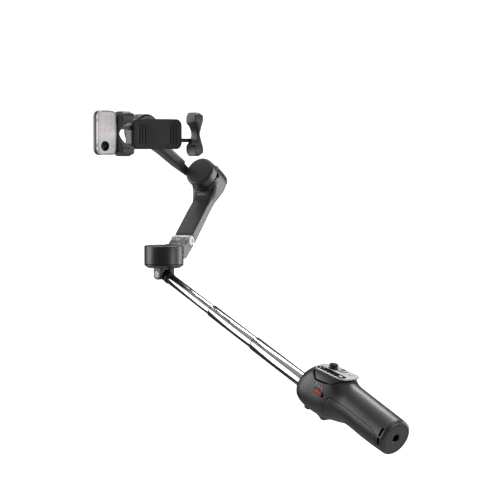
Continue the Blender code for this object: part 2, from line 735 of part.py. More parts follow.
def fold_barrel():
    """The fold pin: two wide ends on a thinner middle that carries the arm's eye."""
    wide = BARREL_RADIUS
    profile = [(0.0, -9.5), (wide - 0.4, -9.5), (wide, -9.1), (wide, -4.6), (2.4, -4.6), (2.4, 4.6)]
    profile += [(wide, 4.6), (wide, 9.1), (wide - 0.4, 9.5), (0.0, 9.5)]
    add("fold_barrel", ARM, along_y(turned(profile)), "polished_pin")


# Arm


def arm_outline():
    """The arm's side view: a is outwards and z is up from the fold pin."""
    inner = [(-1.0, 3.2), (30.0, 34.4), (34.6, 41.5), (36.5, 52.0), (41.0, 65.0)]
    outer = [(43.6, 65.0), (55.5, 57.6), (60.6, 53.8), (61.4, 50.8), (59.4, 47.4), (48.4, 39.8)]
    outer += [(28.9, 21.9), (4.6, -4.0)]
    return list(reversed(inner + outer))


def arm_shell():
    """The long arm with the roll motor's cup at its top end, and a cable channel in its outer face."""
    arm = add("arm_shell", ARM, upright(prism(arm_outline(), -ARM_HALF, ARM_HALF, 0.9)), "dark_plastic")
    cup = [(0.0, ROLL_SPLIT + 0.5), (ROLL_RADIUS, ROLL_SPLIT + 0.5), (ROLL_RADIUS, ROLL_BACK - 3.0)]
    cup += [(ROLL_RADIUS - 1.4, ROLL_BACK - 0.8), (ROLL_RADIUS - 4.0, ROLL_BACK), (0.0, ROLL_BACK)]
    unite(arm, ROLL, turned(cup))
    unite(arm, ROLL, knee())
    cut(arm, ROLL, turned([(0.0, 60.0), (20.0, 60.0), (20.0, ROLL_SPLIT + 0.4), (0.0, ROLL_SPLIT + 0.4)]))
    pocket = [(4.7, ROLL_SPLIT), (11.9, ROLL_SPLIT), (11.9, 89.4), (4.7, 89.4)]
    cut(arm, ROLL, turned(pocket))
    cut(arm, ROLL, turned([(0.0, ROLL_SPLIT - 1.0), (3.9, ROLL_SPLIT - 1.0), (3.9, 88.0), (0.0, 88.0)], 16))
    cut(arm, ARM, across(BARREL_RADIUS + GAP, -12.0, 12.0))
    cut(arm, ARM, fold_relief(1, ARM_REACH))
    cut(arm, ROLL, block((-14.5, -0.5, 79.0), (-11.6, 4.5, 82.4)))
    cut(arm, arm_channel_frame(), block((12.0, -5.6, 1.2), (50.0, 5.6, 9.0)))


def knee():
    """The tapered body that carries the motor cup's full width down into the narrower arm."""
    sections = []
    for down, half, low, high in KNEE_STATIONS:
        outline = rounded_rectangle(2 * half, high - low, 3.0)
        sections.append([(x, -down, z + (low + high) / 2) for x, z in outline])
    return loft(sections)


def arm_channel_frame():
    """A frame on the arm's outer face: x runs up the arm and z runs out of the face."""
    slope = math.radians(45.0)
    up_arm = ARM_OUT * math.cos(slope) + UP * math.sin(slope)
    out_of_face = ARM_OUT * math.sin(slope) - UP * math.cos(slope)
    return axes_frame(FOLD_PIN, up_arm, -ARM_BACK, out_of_face)


def arm_cover():
    """The strip that closes the cable channel."""
    add("arm_cover", arm_channel_frame(), block((12.3, -5.3, 2.2), (49.7, 5.3, 3.6)), "dark_plastic")


def arm_eye():
    """The silver eye round the fold pin's thin middle, between its two wide ends."""
    eye = frame_prism(circle(BARREL_RADIUS), circle(2.7), -EYE_HALF, EYE_HALF)
    add("arm_eye", ARM, upright(eye), "polished_pin")


def roll_motor():
    """The motor at the arm's top end: stator and bearing on the arm, magnets and shaft on the bracket."""
    stator("roll_stator", ROLL, 80.4, 86.4, 9.6)
    shaft = [(0.0, 72.8), (2.4, 72.8), (2.4, 87.4), (0.0, 87.4)]
    add("roll_shaft", ROLL, turned(shaft, 16), "polished_pin")
    race = [(2.6, 82.6), (3.7, 82.6), (3.7, 86.0), (2.6, 86.0)]
    add("roll_bearing", ROLL, turned(race, 16), "magnet_metal")
    magnets = [(9.9, 79.4), (11.4, 79.4), (11.4, 86.0), (9.9, 86.0)]
    add("roll_magnet_ring", ROLL, turned(magnets), "magnet_metal")
    disc = [(0.0, ROLL_FACE), (ROLL_RADIUS - 0.9, ROLL_FACE), (ROLL_RADIUS - 0.2, ROLL_FACE + 0.7)]
    disc += [(ROLL_RADIUS - 0.2, ROLL_FACE + 1.2), (0.0, ROLL_FACE + 1.2)]
    add("roll_disc", ROLL, turned(disc), "dark_plastic")


# Bracket from the roll motor to the swivel motor behind the clamp


def bracket():
    """The roll motor's rotor cup, the beam behind the phone and the swivel motor's cup, as one casting."""
    cup = [(0.0, ROLL_FACE + 1.4), (ROLL_RADIUS, ROLL_FACE + 1.4), (ROLL_RADIUS, ROLL_SPLIT - 0.4)]
    cup += [(0.0, ROLL_SPLIT - 0.4)]
    part = add("bracket", CLAMP, bracket_beam(), "dark_plastic")
    unite(part, ROLL, turned(cup))
    outer = SWIVEL_RADIUS
    case = [(0.0, 19.2), (outer, 19.2), (outer, 33.0), (outer - 1.8, 34.8), (0.0, 34.8)]
    unite(part, CLAMP, along_y(turned(case)))
    cut(part, CLAMP, along_y(turned([(4.6, 18.0), (12.9, 18.0), (12.9, 32.6), (4.6, 32.6)])))
    cut(part, CLAMP, along_y(turned([(0.0, 18.0), (3.8, 18.0), (3.8, 32.6), (0.0, 32.6)], 16)))
    cut(part, ROLL, turned([(0.0, 60.0), (14.6, 60.0), (14.6, ROLL_FACE + 1.35), (0.0, ROLL_FACE + 1.35)]))
    cut(part, ROLL, turned([(0.0, 74.4), (12.2, 74.4), (12.2, 80.0), (0.0, 80.0)]))
    cut(part, ROLL, turned([(0.0, ROLL_SPLIT - 0.35), (18.0, ROLL_SPLIT - 0.35), (18.0, 99.0), (0.0, 99.0)]))
    cut(part, ROLL, turned([(0.0, 72.6), (2.6, 72.6), (2.6, 75.0), (0.0, 75.0)], 16))


def bracket_beam():
    """A beam of rounded section that runs behind the clamp from one motor to the other."""
    stations = (
        ((10.0, 27.5, -7.0), 11.0, 13.0),
        ((26.0, 28.5, -17.0), 9.0, 12.0),
        ((42.0, 29.8, -27.0), 9.0, 11.0),
        ((57.5, 30.6, -36.5), 7.5, 8.5),
    )
    along = Vector((54.0, 0.0, -34.0)).normalized()
    across_beam = Vector((-along.z, 0.0, along.x))
    sections = []
    for centre, thick, deep in stations:
        section = []
        for a, b in rounded_rectangle(thick, deep, 2.4, 2):
            point = Vector(centre) + across_beam * a + FORWARD * b
            section.append(tuple(point))
        sections.append(section)
    return loft(sections)


def swivel_motor():
    """The motor behind the clamp: stator and bearing on the bracket, cup and shaft on the clamp."""
    ring = frame_prism(toothed(9.4, 6.9, 9), circle(4.9, 36), 21.4, 28.4)
    add("swivel_stator", CLAMP, along_y(ring), "copper_winding")
    rotor = [(0.0, 16.1), (12.6, 16.1), (12.6, 29.4), (10.2, 29.4), (10.2, 18.6), (2.4, 18.6)]
    rotor += [(2.4, 31.6), (0.0, 31.6)]
    add("swivel_rotor", CLAMP, along_y(turned(rotor)), "magnet_metal")
    race = [(2.6, 24.0), (3.6, 24.0), (3.6, 28.0), (2.6, 28.0)]
    add("swivel_bearing", CLAMP, along_y(turned(race, 16)), "polished_pin")


# Clamp


def clamp_housing():
    """The flat box behind the phone, open towards the pad plate, with a slot for each rack."""
    outline = rounded_rectangle(54.0, 26.0, 6.0)
    frame = moved(CLAMP, (0.0, 0.0, JAW_MID))
    housing = add("clamp_housing", frame, upright(prism(outline, -15.8, -6.2, 0.8)), "dark_plastic")
    cut(housing, frame, upright(prism(rounded_rectangle(50.4, 22.4, 4.4), -14.0, -5.0)))
    for side in (-1, 1):
        low, high = sorted((side * 20.0, side * 30.0))
        cut(housing, frame, block((low, 7.4, -side * 5.3 - 2.0), (high, 11.8, -side * 5.3 + 2.0)))


def clamp_pad():
    """The rubber plate that the phone's back rests on."""
    outline = rounded_rectangle(54.0, 26.0, 6.0)
    frame = moved(CLAMP, (0.0, 0.0, JAW_MID))
    add("clamp_pad", frame, upright(prism(outline, -6.1, -4.4, 0.5)), "rubber_pad")


def clamp_pinion():
    """The pinion between the two racks, with the ring of its spring behind it."""
    frame = moved(CLAMP, (0.0, 0.0, JAW_MID))
    points, faces = prism(toothed(3.4, 2.7, 10), 8.0, 11.2)
    add("clamp_pinion", frame, along_y((points, faces)), "silver_plastic")
    spring = [(2.4, 11.7), (4.6, 11.7), (4.6, 13.2), (2.4, 13.2)]
    add("clamp_spring", frame, along_y(turned(spring, 20)), "polished_pin")


def jaw_front_view(out):
    """The right jaw seen from the front, out to a given x: fingers above and below a round scoop."""
    centre = out - 2.6 - SCOOP_RADIUS
    tip = PHONE_HALF_WIDTH - LIP
    outline = [(tip + 1.6, JAW_LOW), (out - 3.0, JAW_LOW), (out, JAW_LOW + 3.0), (out, JAW_HIGH - 3.0)]
    outline += [(out - 3.0, JAW_HIGH), (tip + 1.6, JAW_HIGH), (tip, JAW_HIGH - 1.6)]
    half = math.sqrt(SCOOP_RADIUS**2 - (tip - centre) ** 2)
    start = math.atan2(half, tip - centre)
    outline.append((tip, JAW_MID + half))
    for step in range(1, 12):
        angle = start * (1 - step / 6)
        x = centre + SCOOP_RADIUS * math.cos(angle)
        outline.append((x, JAW_MID + SCOOP_RADIUS * math.sin(angle)))
    outline += [(tip, JAW_MID - half), (tip, JAW_LOW + 1.6)]
    return outline


def jaw_side_view(waist):
    """The jaw seen from its side: round ends and a narrow waist whose front stands at y = waist."""
    reach = JAW_FRONT
    shoulder = reach * 0.55 + waist * 0.45
    front = [(reach + 3.0, JAW_LOW - 0.5), (reach, JAW_LOW + 3.0), (reach, -15.2), (shoulder, -10.0)]
    front += [(waist, JAW_MID), (shoulder, 4.0), (reach, 9.2), (reach, JAW_HIGH - 3.0)]
    front.append((reach + 3.0, JAW_HIGH + 0.5))
    back = [(7.0, JAW_HIGH + 0.5), (10.0, 12.4), (10.0, 7.6), (8.8, JAW_MID), (10.0, -13.6), (10.0, -18.4)]
    back += [(7.0, JAW_LOW - 0.5)]
    return list(reversed(front + back))


def jaw(name, side, out, waist):
    """A jaw with its rack. Side is -1 for the left."""
    outline = [(side * x, z) for x, z in jaw_front_view(out)]
    part = add(name, CLAMP, upright(prism(outline, -JAW_BACK, -JAW_FRONT)), "dark_plastic")
    keep(part, CLAMP, along_x(prism(jaw_side_view(waist), -50.0, 50.0)))
    low, high = sorted((side * 20.0, side * PHONE_HALF_WIDTH))
    cut(part, CLAMP, block((low, SLOT_FRONT, -30.0), (high, 30.0, 30.0)))
    low, high = sorted((-side * 10.0, side * (out - 1.0)))
    rack_z = JAW_MID - side * 5.3
    unite(part, CLAMP, block((low, 7.8, rack_z - 1.6), (high, 11.4, rack_z + 1.6)))


def jaws():
    jaw("jaw_left", -1, JAW_OUT_LEFT, 2.0)
    jaw("jaw_right", 1, JAW_OUT, -0.9)


# Tracking module


def tracker():
    """The magnetic tracking module: dark tray, silver rim, pale face and a small camera."""
    half_x, half_y, half_z = TRACKER_HALF
    outline = rounded_rectangle(2 * half_x, 2 * half_z, TRACKER_CORNER, 4)
    shell = add("tracker_shell", TRACKER, upright(prism(outline, -half_y, 1.0, 0.9)), "dark_plastic")
    cut(shell, TRACKER, upright(prism(inset(outline, 1.3), 1.4 - half_y, 5.0)))
    rim = upright(frame_prism(outline, inset(outline, 1.2), 1.1, half_y))
    add("tracker_rim", TRACKER, rim, "silver_plastic")
    window = upright(prism(inset(outline, 1.4), 2.4, half_y - 0.1, 0.2))
    face = add("tracker_face", TRACKER, window, "lamp_lens")
    hole = LENS_RADIUS + 0.2
    tool = turned([(0.0, -6.0), (hole, -6.0), (hole, 6.0), (0.0, 6.0)])
    cut(face, TRACKER, shifted(along_y(tool), LENS_AT))
    edge = LENS_RADIUS
    profile = [(0.0, -3.6), (1.8, -3.6), (2.7, -4.2), (edge - 0.5, -4.4), (edge, -4.2)]
    profile += [(edge, 0.6), (0.0, 0.6)]
    add("tracker_lens", TRACKER, shifted(along_y(turned(profile)), LENS_AT), "lens_glass")
    add("tracker_board", TRACKER, upright(prism(inset(outline, 2.2), -1.9, -0.9)), "circuit_board")


def build():
    clear_scene()
    handle_shell()
    grip_cover()
    end_cap()
    tripod_nut()
    rod_liner()
    nose_ring()
    battery_cell()
    main_board()
    dock_plate()
    usb_port()
    indicator_lens()
    power_slider()
    trigger()
    underside_button()
    remote_case()
    remote_panel()
    touch_strip()
    joystick()
    remote_buttons()
    remote_board()
    tubes()
    rod_head()
    fork_base()
    tilt_pin()
    pan_motor()
    pan_housing()
    lower_link()
    fold_barrel()
    arm_shell()
    arm_cover()
    arm_eye()
    roll_motor()
    bracket()
    swivel_motor()
    clamp_housing()
    clamp_pad()
    clamp_pinion()
    jaws()
    tracker()


build()
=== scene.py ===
"""Looks of the hand-held phone gimbal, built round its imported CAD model.

The dimensions are the CAD model's own, in millimetres, and each piece is made again with more detail.
"""

import json
from math import atan2, copysign, cos, pi, radians, sin, sqrt, tan

import bmesh
import bpy
import numpy as np
from mathutils import Matrix, Vector

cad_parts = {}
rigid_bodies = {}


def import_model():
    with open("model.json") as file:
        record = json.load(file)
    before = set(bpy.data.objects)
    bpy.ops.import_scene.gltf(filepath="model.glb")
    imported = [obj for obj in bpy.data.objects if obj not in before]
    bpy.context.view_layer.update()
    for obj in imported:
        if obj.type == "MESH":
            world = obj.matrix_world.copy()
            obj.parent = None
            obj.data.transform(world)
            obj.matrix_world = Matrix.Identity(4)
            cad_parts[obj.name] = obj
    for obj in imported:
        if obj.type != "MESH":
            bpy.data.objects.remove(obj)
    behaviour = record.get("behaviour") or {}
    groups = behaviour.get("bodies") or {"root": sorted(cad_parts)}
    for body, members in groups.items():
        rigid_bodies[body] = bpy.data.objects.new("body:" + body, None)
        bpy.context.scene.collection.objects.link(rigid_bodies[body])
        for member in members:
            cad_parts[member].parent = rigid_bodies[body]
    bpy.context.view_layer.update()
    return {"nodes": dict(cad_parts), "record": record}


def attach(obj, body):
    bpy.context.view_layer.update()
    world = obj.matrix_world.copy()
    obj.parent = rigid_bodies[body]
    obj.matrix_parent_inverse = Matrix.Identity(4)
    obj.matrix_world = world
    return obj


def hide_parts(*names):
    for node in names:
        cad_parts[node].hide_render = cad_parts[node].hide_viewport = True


MM = 0.001
ROD_TILT = radians(24.0)
ARM_TURN = radians(17.0)
ROLL_TILT = radians(30.0)
PANEL_TILT = radians(9.5)
GAP = 0.3
SECTION_POINTS = 96
ROUND_SIDES = 96
# How much a finish's roughness varies either way.
ROUGHNESS_SPREAD = 0.05

# Handle, in its own frame: y runs forwards along the rod, z is up from the grip.
ROD_DROP = 9.4
PIN_REACH = 298.5
HEAD_FRONT = 104.0
SHELL_WALL = 1.5
# Stations of the handle's outside: y, half width, bottom, top, squareness.
HANDLE_STATIONS = (
    (2.4, 14.4, -14.5, 14.5, 2.05),
    (12.0, 14.0, -15.1, 14.9, 2.05),
    (30.0, 13.6, -15.2, 15.2, 2.1),
    (44.0, 13.2, -14.9, 15.5, 2.1),
    (50.0, 13.1, -15.4, 15.6, 2.15),
    (54.0, 13.1, -17.0, 15.7, 2.2),
    (60.0, 13.5, -18.8, 16.6, 2.4),
    (65.0, 14.1, -20.2, 18.8, 2.7),
    (74.0, 14.9, -22.1, 18.6, 2.8),
    (84.0, 15.0, -23.0, 17.2, 2.8),
    (92.0, 14.8, -23.0, 14.8, 2.7),
    (97.0, 14.1, -22.4, 10.6, 2.5),
    (101.2, 12.6, -20.9, 5.6, 2.4),
    (104.0, 10.2, -19.2, 1.2, 2.2),
)
# About how far apart the stations stand once smoothed, and where the shell's inside ends.
STATION_STEP = 2.0
INSIDE_END = 100.0
# Half the length of a cutter that passes right through the handle.
THROUGH = 20.0
NOSE_RADIUS = 8.4
LAMP_PLACES = (74.8, 78.1, 81.4)
LAMP_HEIGHT = 3.9
SLIDER_AT = (76.4, -0.9)
TRIGGER_PIN = (0.0, 80.0, -19.0)
UNDER_BUTTON_AT = (0.0, 94.2, -26.6)

# Detachable remote, in its own frame: the origin is the middle of the panel's top face.
REMOTE_CENTRE = (0.0, 76.5, 16.3)
PANEL_WIDTH = 22.0
PANEL_LENGTH = 34.0
PANEL_THICK = 1.4
PANEL_CORNER = 5.5
JOYSTICK_AT = (2.2, 7.5)
JOYSTICK_DEPTH = 1.2
JOYSTICK_HOLE = 4.2
WHEEL_AT = (5.0, -0.5)
WHEEL_HOLE = 3.9
MODE_AT = (5.8, -8.3)
MODE_HOLE = 3.2
TOUCH_AT = (-6.9, 0.0)
TOUCH_LENGTH = 30.0
# The strip is drawn 1 mm wider than its CAD node.
STRIP_WIDTH = 7.2
# The space inside the remote: its middle and length along the handle, and its width.
CAVITY_MIDDLE = 0.7
CAVITY_LENGTH = 15.4
CAVITY_WIDTH = 18.4

# Telescopic rod, measured back from the tilt pin.
TUBE_RADII = (4.5, 5.2, 5.9)
TUBE_WALL = 0.4
TUBE_MOUTHS = (9.0, 69.2, 127.4)
TUBE_ENDS = (75.0, 133.0, 199.0)
LINER_RADIUS = 6.2
PIN_BORE = 1.9
# The length of the dark ring in the mouth of each wider tube, with the seam behind it.
MOUTH_RING = 0.9

# Pan drum, measured up from the tilt pin.
DRUM_RADIUS = 16.9
DRUM_BOTTOM = 5.3
DRUM_SPLIT = 8.2
DRUM_TOP = 24.5
PHONE_LEFT = 2.7
PHONE_HEIGHT = 123.0
FORK_HALF = 8.0
TONGUE_HALF = 2.9

# Folding arm, in the upright plane of the arm: a is outwards, z is up from the fold pin.
FOLD_OUT = 29.9
FOLD_UP = 27.5
BARREL_RADIUS = 4.6
ARM_HALF = 9.1
EYE_HALF = 4.2
# How far round the fold pin the arm and the link each keep their inner side, from their own direction.
ARM_REACH = radians(26.0)
LINK_REACH = radians(50.0)
# The arm leaves the fold pin at this angle above the level.
ARM_SLOPE = radians(46.5)

# Roll motor, measured outwards from the phone's centre along its axis.
ROLL_FACE = 69.6
ROLL_SPLIT = 79.2
ROLL_BACK = 100.0
ROLL_RADIUS = 13.4
# The knee under the motor cup: distance down from the roll axis, half width, and its low and high face.
KNEE_STATIONS = (
    (1.0, 13.2, 79.8, 99.0),
    (6.0, 12.8, 80.4, 98.8),
    (13.0, 11.6, 84.2, 96.6),
    (20.0, 9.9, 84.8, 94.2),
    (26.0, 8.9, 85.2, 92.4),
)

# Clamp, measured from the phone's centre.
PHONE_HALF_WIDTH = 35.8
JAW_OUT = 43.2
JAW_OUT_LEFT = 46.3
JAW_LOW = -22.0
JAW_HIGH = 16.0
JAW_MID = -3.0
JAW_FRONT = -5.9
JAW_BACK = 10.0
LIP = 2.4
SLOT_FRONT = -4.3
SCOOP_RADIUS = 11.7
# How far the middle of each rack stands from the jaws' middle.
RACK_OFF = 5.3
SWIVEL_RADIUS = 14.4
TRACKER_AT = (-56.7, 5.8, -2.2)
TRACKER_HALF = (9.7, 3.8, 18.8)
TRACKER_CORNER = 5.5
# The small camera in the module's face: its centre from the module's middle, and its radius.
LENS_AT = (-2.33, 0.0, -11.1)
LENS_RADIUS = 4.1

# Camera and floor, in metres, and the lens in millimetres.
CAMERA_PLACE = (-1.0937, -1.0487, 0.2191)
CAMERA_AIM = Vector((0.6683, 0.7422, -0.0499))
VIEW_ALONG = Vector((0.669, 0.743, 0.0))
VIEW_RIGHT = Vector((0.743, -0.669, 0.0))
CAMERA_LENS = 144.0
FLOOR_HEIGHT = -0.45
# The floor's extent along the view and to each side, then the curve and the top of the backdrop.
FLOOR_START = -4.0
FLOOR_END = 3.2
FLOOR_HALF = 6.0
BACKDROP_CURVE = 1.2
BACKDROP_TOP = 4.0
# Soft lights: name, place, size and power. All of them face one point.
LIT_POINT = (0.0, 0.15, 0.14)
LIGHTS = (
    ("key_right", (1.5, -0.25, 0.10), (0.8, 1.5), 15.0),
    ("top_back", (0.62, 0.80, 1.50), (1.3, 0.5), 20.0),
    ("left_back", (-0.85, 1.15, 0.34), (0.8, 1.0), 7.5),
    ("front_fill", (0.45, -1.35, 0.2), (0.7, 1.2), 7.0),
)
# How bright the surround is from straight down, 0, to straight up, 1.
SURROUND = ((0.0, 0.40), (0.26, 0.40), (0.30, 0.04), (0.74, 0.04), (0.80, 0.30), (1.0, 0.50))


def axes_frame(origin, x_axis, y_axis, z_axis):
    """A frame whose origin is in millimetres."""
    frame = Matrix((x_axis, y_axis, z_axis)).transposed().to_4x4()
    frame.translation = [value * MM for value in origin]
    return frame


RIGHT = Vector((1.0, 0.0, 0.0))
UP = Vector((0.0, 0.0, 1.0))
FORWARD = Vector((0.0, 1.0, 0.0))
ROD_AXIS = Vector((0.0, cos(ROD_TILT), sin(ROD_TILT)))
ROD_UP = Vector((0.0, -sin(ROD_TILT), cos(ROD_TILT)))
TILT_PIN = ROD_AXIS * PIN_REACH - ROD_UP * ROD_DROP
PHONE_CENTRE = TILT_PIN + UP * PHONE_HEIGHT - RIGHT * PHONE_LEFT
ARM_OUT = Vector((cos(ARM_TURN), sin(ARM_TURN), 0.0))
ARM_BACK = Vector((-sin(ARM_TURN), cos(ARM_TURN), 0.0))
FOLD_PIN = TILT_PIN + ARM_OUT * FOLD_OUT + UP * FOLD_UP
ROLL_AXIS = ARM_OUT * cos(ROLL_TILT) - UP * sin(ROLL_TILT)
ROLL_UP = ARM_OUT * sin(ROLL_TILT) + UP * cos(ROLL_TILT)
PANEL_FORWARD = ROD_AXIS * cos(PANEL_TILT) - ROD_UP * sin(PANEL_TILT)
PANEL_UP = ROD_AXIS * sin(PANEL_TILT) + ROD_UP * cos(PANEL_TILT)
PANEL_CENTRE = ROD_AXIS * REMOTE_CENTRE[1] + ROD_UP * REMOTE_CENTRE[2]

HANDLE = axes_frame((0, 0, 0), RIGHT, ROD_AXIS, ROD_UP)
ROD = axes_frame(TILT_PIN, RIGHT, ROD_AXIS, ROD_UP)
REMOTE = axes_frame(PANEL_CENTRE, RIGHT, PANEL_FORWARD, PANEL_UP)
PAN = axes_frame(TILT_PIN, RIGHT, FORWARD, UP)
ARM = axes_frame(FOLD_PIN, ARM_OUT, ARM_BACK, UP)
LINK = axes_frame(TILT_PIN, ARM_OUT, ARM_BACK, UP)
ROLL = axes_frame(PHONE_CENTRE, ARM_BACK, ROLL_UP, ROLL_AXIS)
CLAMP = axes_frame(PHONE_CENTRE, RIGHT, FORWARD, UP)
TRACKER = axes_frame(PHONE_CENTRE + Vector(TRACKER_AT), RIGHT, FORWARD, UP)


# Shapes: a shape is a list of points and a list of faces


def moved(frame, offset):
    """The frame with its origin shifted by an offset in its own axes."""
    return frame @ Matrix.Translation(Vector(offset) * MM)


def around(sides):
    """The cosine and the sine at each even step round a circle."""
    angles = [2 * pi * step / sides for step in range(sides)]
    return [(cos(angle), sin(angle)) for angle in angles]


def turned(profile, sides=ROUND_SIDES):
    """A profile of (radius, height) points turned about z. It is closed where its ends leave the axis."""
    points = []
    rings = []
    for radius, height in profile:
        steps = around(1 if radius == 0 else sides)
        rings.append(range(len(points), len(points) + len(steps)))
        points += [(radius * x, radius * y, height) for x, y in steps]
    pairs = list(zip(rings, rings[1:]))
    if profile[0][0] > 0:
        pairs.append((rings[-1], rings[0]))
    faces = []
    for lower, upper in pairs:
        faces.extend(bridge(lower, upper, sides))
    return points, faces


def ring(inner, outer, low, high):
    """A ring about z, or a solid cylinder where inner is 0."""
    return turned([(inner, low), (outer, low), (outer, high), (inner, high)])


def bridge(lower, upper, sides):
    """The faces between two rings of points, either of which can be one point on the axis."""
    faces = []
    for step in range(sides):
        after = (step + 1) % sides
        if len(lower) == 1 and len(upper) > 1:
            faces.append((lower[0], upper[after], upper[step]))
        elif len(upper) == 1 and len(lower) > 1:
            faces.append((lower[step], lower[after], upper[0]))
        elif len(lower) > 1:
            faces.append((lower[step], lower[after], upper[after], upper[step]))
    return faces


def loft(sections, ring=False):
    """Joins sections of equal point counts. A ring joins the last to the first instead of capping them."""
    count = len(sections[0])
    points = [point for section in sections for point in section]
    total = len(sections)
    faces = []
    for index in range(total if ring else total - 1):
        base = index * count
        above = (index + 1) % total * count
        for step in range(count):
            after = (step + 1) % count
            faces.append((base + step, base + after, above + after, above + step))
    if not ring:
        faces.append(tuple(reversed(range(count))))
        faces.append(tuple(range((total - 1) * count, total * count)))
    return points, faces


def rounded_rectangle(width, height, corner, steps, centre=(0.0, 0.0)):
    """A counter-clockwise outline."""
    outline = []
    for turn, (sign_x, sign_y) in enumerate(((1, 1), (-1, 1), (-1, -1), (1, -1))):
        for step in range(steps + 1):
            angle = pi / 2 * (turn + step / steps)
            x = sign_x * (width / 2 - corner) + corner * cos(angle)
            y = sign_y * (height / 2 - corner) + corner * sin(angle)
            outline.append((x + centre[0], y + centre[1]))
    return outline


def circle(radius, sides=ROUND_SIDES, centre=(0.0, 0.0)):
    """A counter-clockwise round outline."""
    return [(centre[0] + radius * x, centre[1] + radius * y) for x, y in around(sides)]


def inset(outline, amount):
    """Moves each edge of a counter-clockwise outline inwards."""
    moved_points = []
    count = len(outline)
    for index in range(count):
        before = Vector(outline[index - 1])
        here = Vector(outline[index])
        after = Vector(outline[(index + 1) % count])
        first = (here - before).normalized()
        second = (after - here).normalized()
        normal = Vector((-first.y - second.y, first.x + second.x)).normalized()
        slope = max(0.35, Vector((-first.y, first.x)).dot(normal))
        moved_points.append(tuple(here + normal * (amount / slope)))
    return moved_points


def stacked(levels, ring=False):
    """Joins outlines in x and y, each of them at its own height."""
    return loft([[(x, y, level) for x, y in points] for points, level in levels], ring)


def prism(outline, low, high):
    """An outline in x and y, extruded from low to high."""
    return stacked(((outline, low), (outline, high)))


def frame_prism(outer, inner, low, high):
    """A closed band between two outlines of equal point counts."""
    return stacked(((outer, low), (outer, high), (inner, high), (inner, low)), ring=True)


def block(low, high):
    """A box between two opposite corners."""
    outline = [(low[0], low[1]), (high[0], low[1]), (high[0], high[1]), (low[0], high[1])]
    return prism(outline, low[2], high[2])


def along_x(shape):
    """Turns a shape so that its z runs along x."""
    return [(z, x, y) for x, y, z in shape[0]], shape[1]


def along_y(shape):
    """Turns a shape so that its z runs along y, and its y runs along -z."""
    return [(x, z, -y) for x, y, z in shape[0]], shape[1]


def upright(shape):
    """Turns a shape so that its outline's y runs along z, and its z runs along -y."""
    return [(x, -z, y) for x, y, z in shape[0]], shape[1]


# In the rod's frame the same turn lays a shape's z back from the tilt pin towards the user.
back_along_rod = upright


def shifted(shape, offset):
    """A shape moved by an offset."""
    return [(x + offset[0], y + offset[1], z + offset[2]) for x, y, z in shape[0]], shape[1]


def combined(shapes):
    """Several shapes as one."""
    points = []
    faces = []
    for shape in shapes:
        base = len(points)
        points.extend(shape[0])
        faces.extend(tuple(base + index for index in face) for face in shape[1])
    return points, faces


def fold_bore():
    """The room round the fold barrel, right across the arm."""
    return upright(prism(circle(BARREL_RADIUS + GAP), -12.0, 12.0))


def handle_section(station, wall=0.0):
    """The handle's cross-section at a station, moved inwards by the wall."""
    y, half, bottom, top, power = station
    middle = (bottom + top) / 2
    height = (top - bottom) / 2 - wall
    width = half - wall
    section = []
    for across, up in around(SECTION_POINTS):
        x = copysign(abs(across) ** (2 / power), across) * width
        z = copysign(abs(up) ** (2 / power), up) * height
        section.append((x, y, z + middle))
    return section


def nose_section(y, radius):
    """A round section of the handle, about the rod."""
    return [(x, y, z - ROD_DROP) for x, z in circle(radius, SECTION_POINTS)]


def capsule(length, width, low, high, steps=4):
    """A bar along y with round ends."""
    return prism(rounded_rectangle(width, length, width / 2 - 0.01, steps), low, high)


def side_capsule(at, length, height, low, high, side):
    """A capsule on the handle's side: at is (y, z), and low to high is measured outwards across it."""
    points, faces = capsule(length, height, low, high)
    return [(side * z, y + at[0], x + at[1]) for x, y, z in points], faces


def fold_relief(side, reach):
    """The wedge off the inner side of the arm, side 1, or the link, side -1, that lets the arm fold.

    Nothing is left there past the reach, an angle from the piece's own direction.
    """
    forward = Vector((cos(ARM_SLOPE), sin(ARM_SLOPE))) * side
    inward = Vector((-sin(ARM_SLOPE), cos(ARM_SLOPE)))
    tip = Vector((cos(reach), sin(reach))) * 16.0
    corners = [(0.0, 0.0), (tip.x, tip.y), (tip.x - 8.0, 16.0), (-14.0, 16.0), (-14.0, 0.0)]
    outline = [tuple(forward * a + inward * b) for a, b in corners]
    if side < 0:
        outline.reverse()
    return upright(prism(outline, -12.0, 12.0))


def arm_outline():
    """The arm's side view: a is outwards and z is up from the fold pin."""
    inner = [(-1.0, 3.2), (30.0, 34.4), (34.6, 41.5), (36.5, 52.0), (41.0, 65.0)]
    outer = [(43.6, 65.0), (55.5, 57.6), (60.6, 53.8), (61.4, 50.8), (59.4, 47.4), (48.4, 39.8)]
    outer += [(28.9, 21.9), (4.6, -4.0)]
    return list(reversed(inner + outer))


def arm_channel_frame():
    """A frame on the arm's outer face: x runs up the arm and z runs out of the face."""
    slope = radians(45.0)
    up_arm = ARM_OUT * cos(slope) + UP * sin(slope)
    out_of_face = ARM_OUT * sin(slope) - UP * cos(slope)
    return axes_frame(FOLD_PIN, up_arm, -ARM_BACK, out_of_face)


def jaw_side_view(waist):
    """The jaw seen from its side: round ends and a narrow waist whose front stands at y = waist."""
    reach = JAW_FRONT
    shoulder = reach * 0.55 + waist * 0.45
    front = [(reach + 3.0, JAW_LOW - 0.5), (reach, JAW_LOW + 3.0), (reach, -15.2), (shoulder, -10.0)]
    front += [(waist, JAW_MID), (shoulder, 4.0), (reach, 9.2), (reach, JAW_HIGH - 3.0)]
    front.append((reach + 3.0, JAW_HIGH + 0.5))
    back = [(7.0, JAW_HIGH + 0.5), (10.0, 12.4), (10.0, 7.6), (8.8, JAW_MID), (10.0, -13.6), (10.0, -18.4)]
    back += [(7.0, JAW_LOW - 0.5)]
    return list(reversed(front + back))


# Materials


def set_inputs(node, values):
    """Gives each named socket its value."""
    for socket, value in values.items():
        node.inputs[socket].default_value = value
    return node


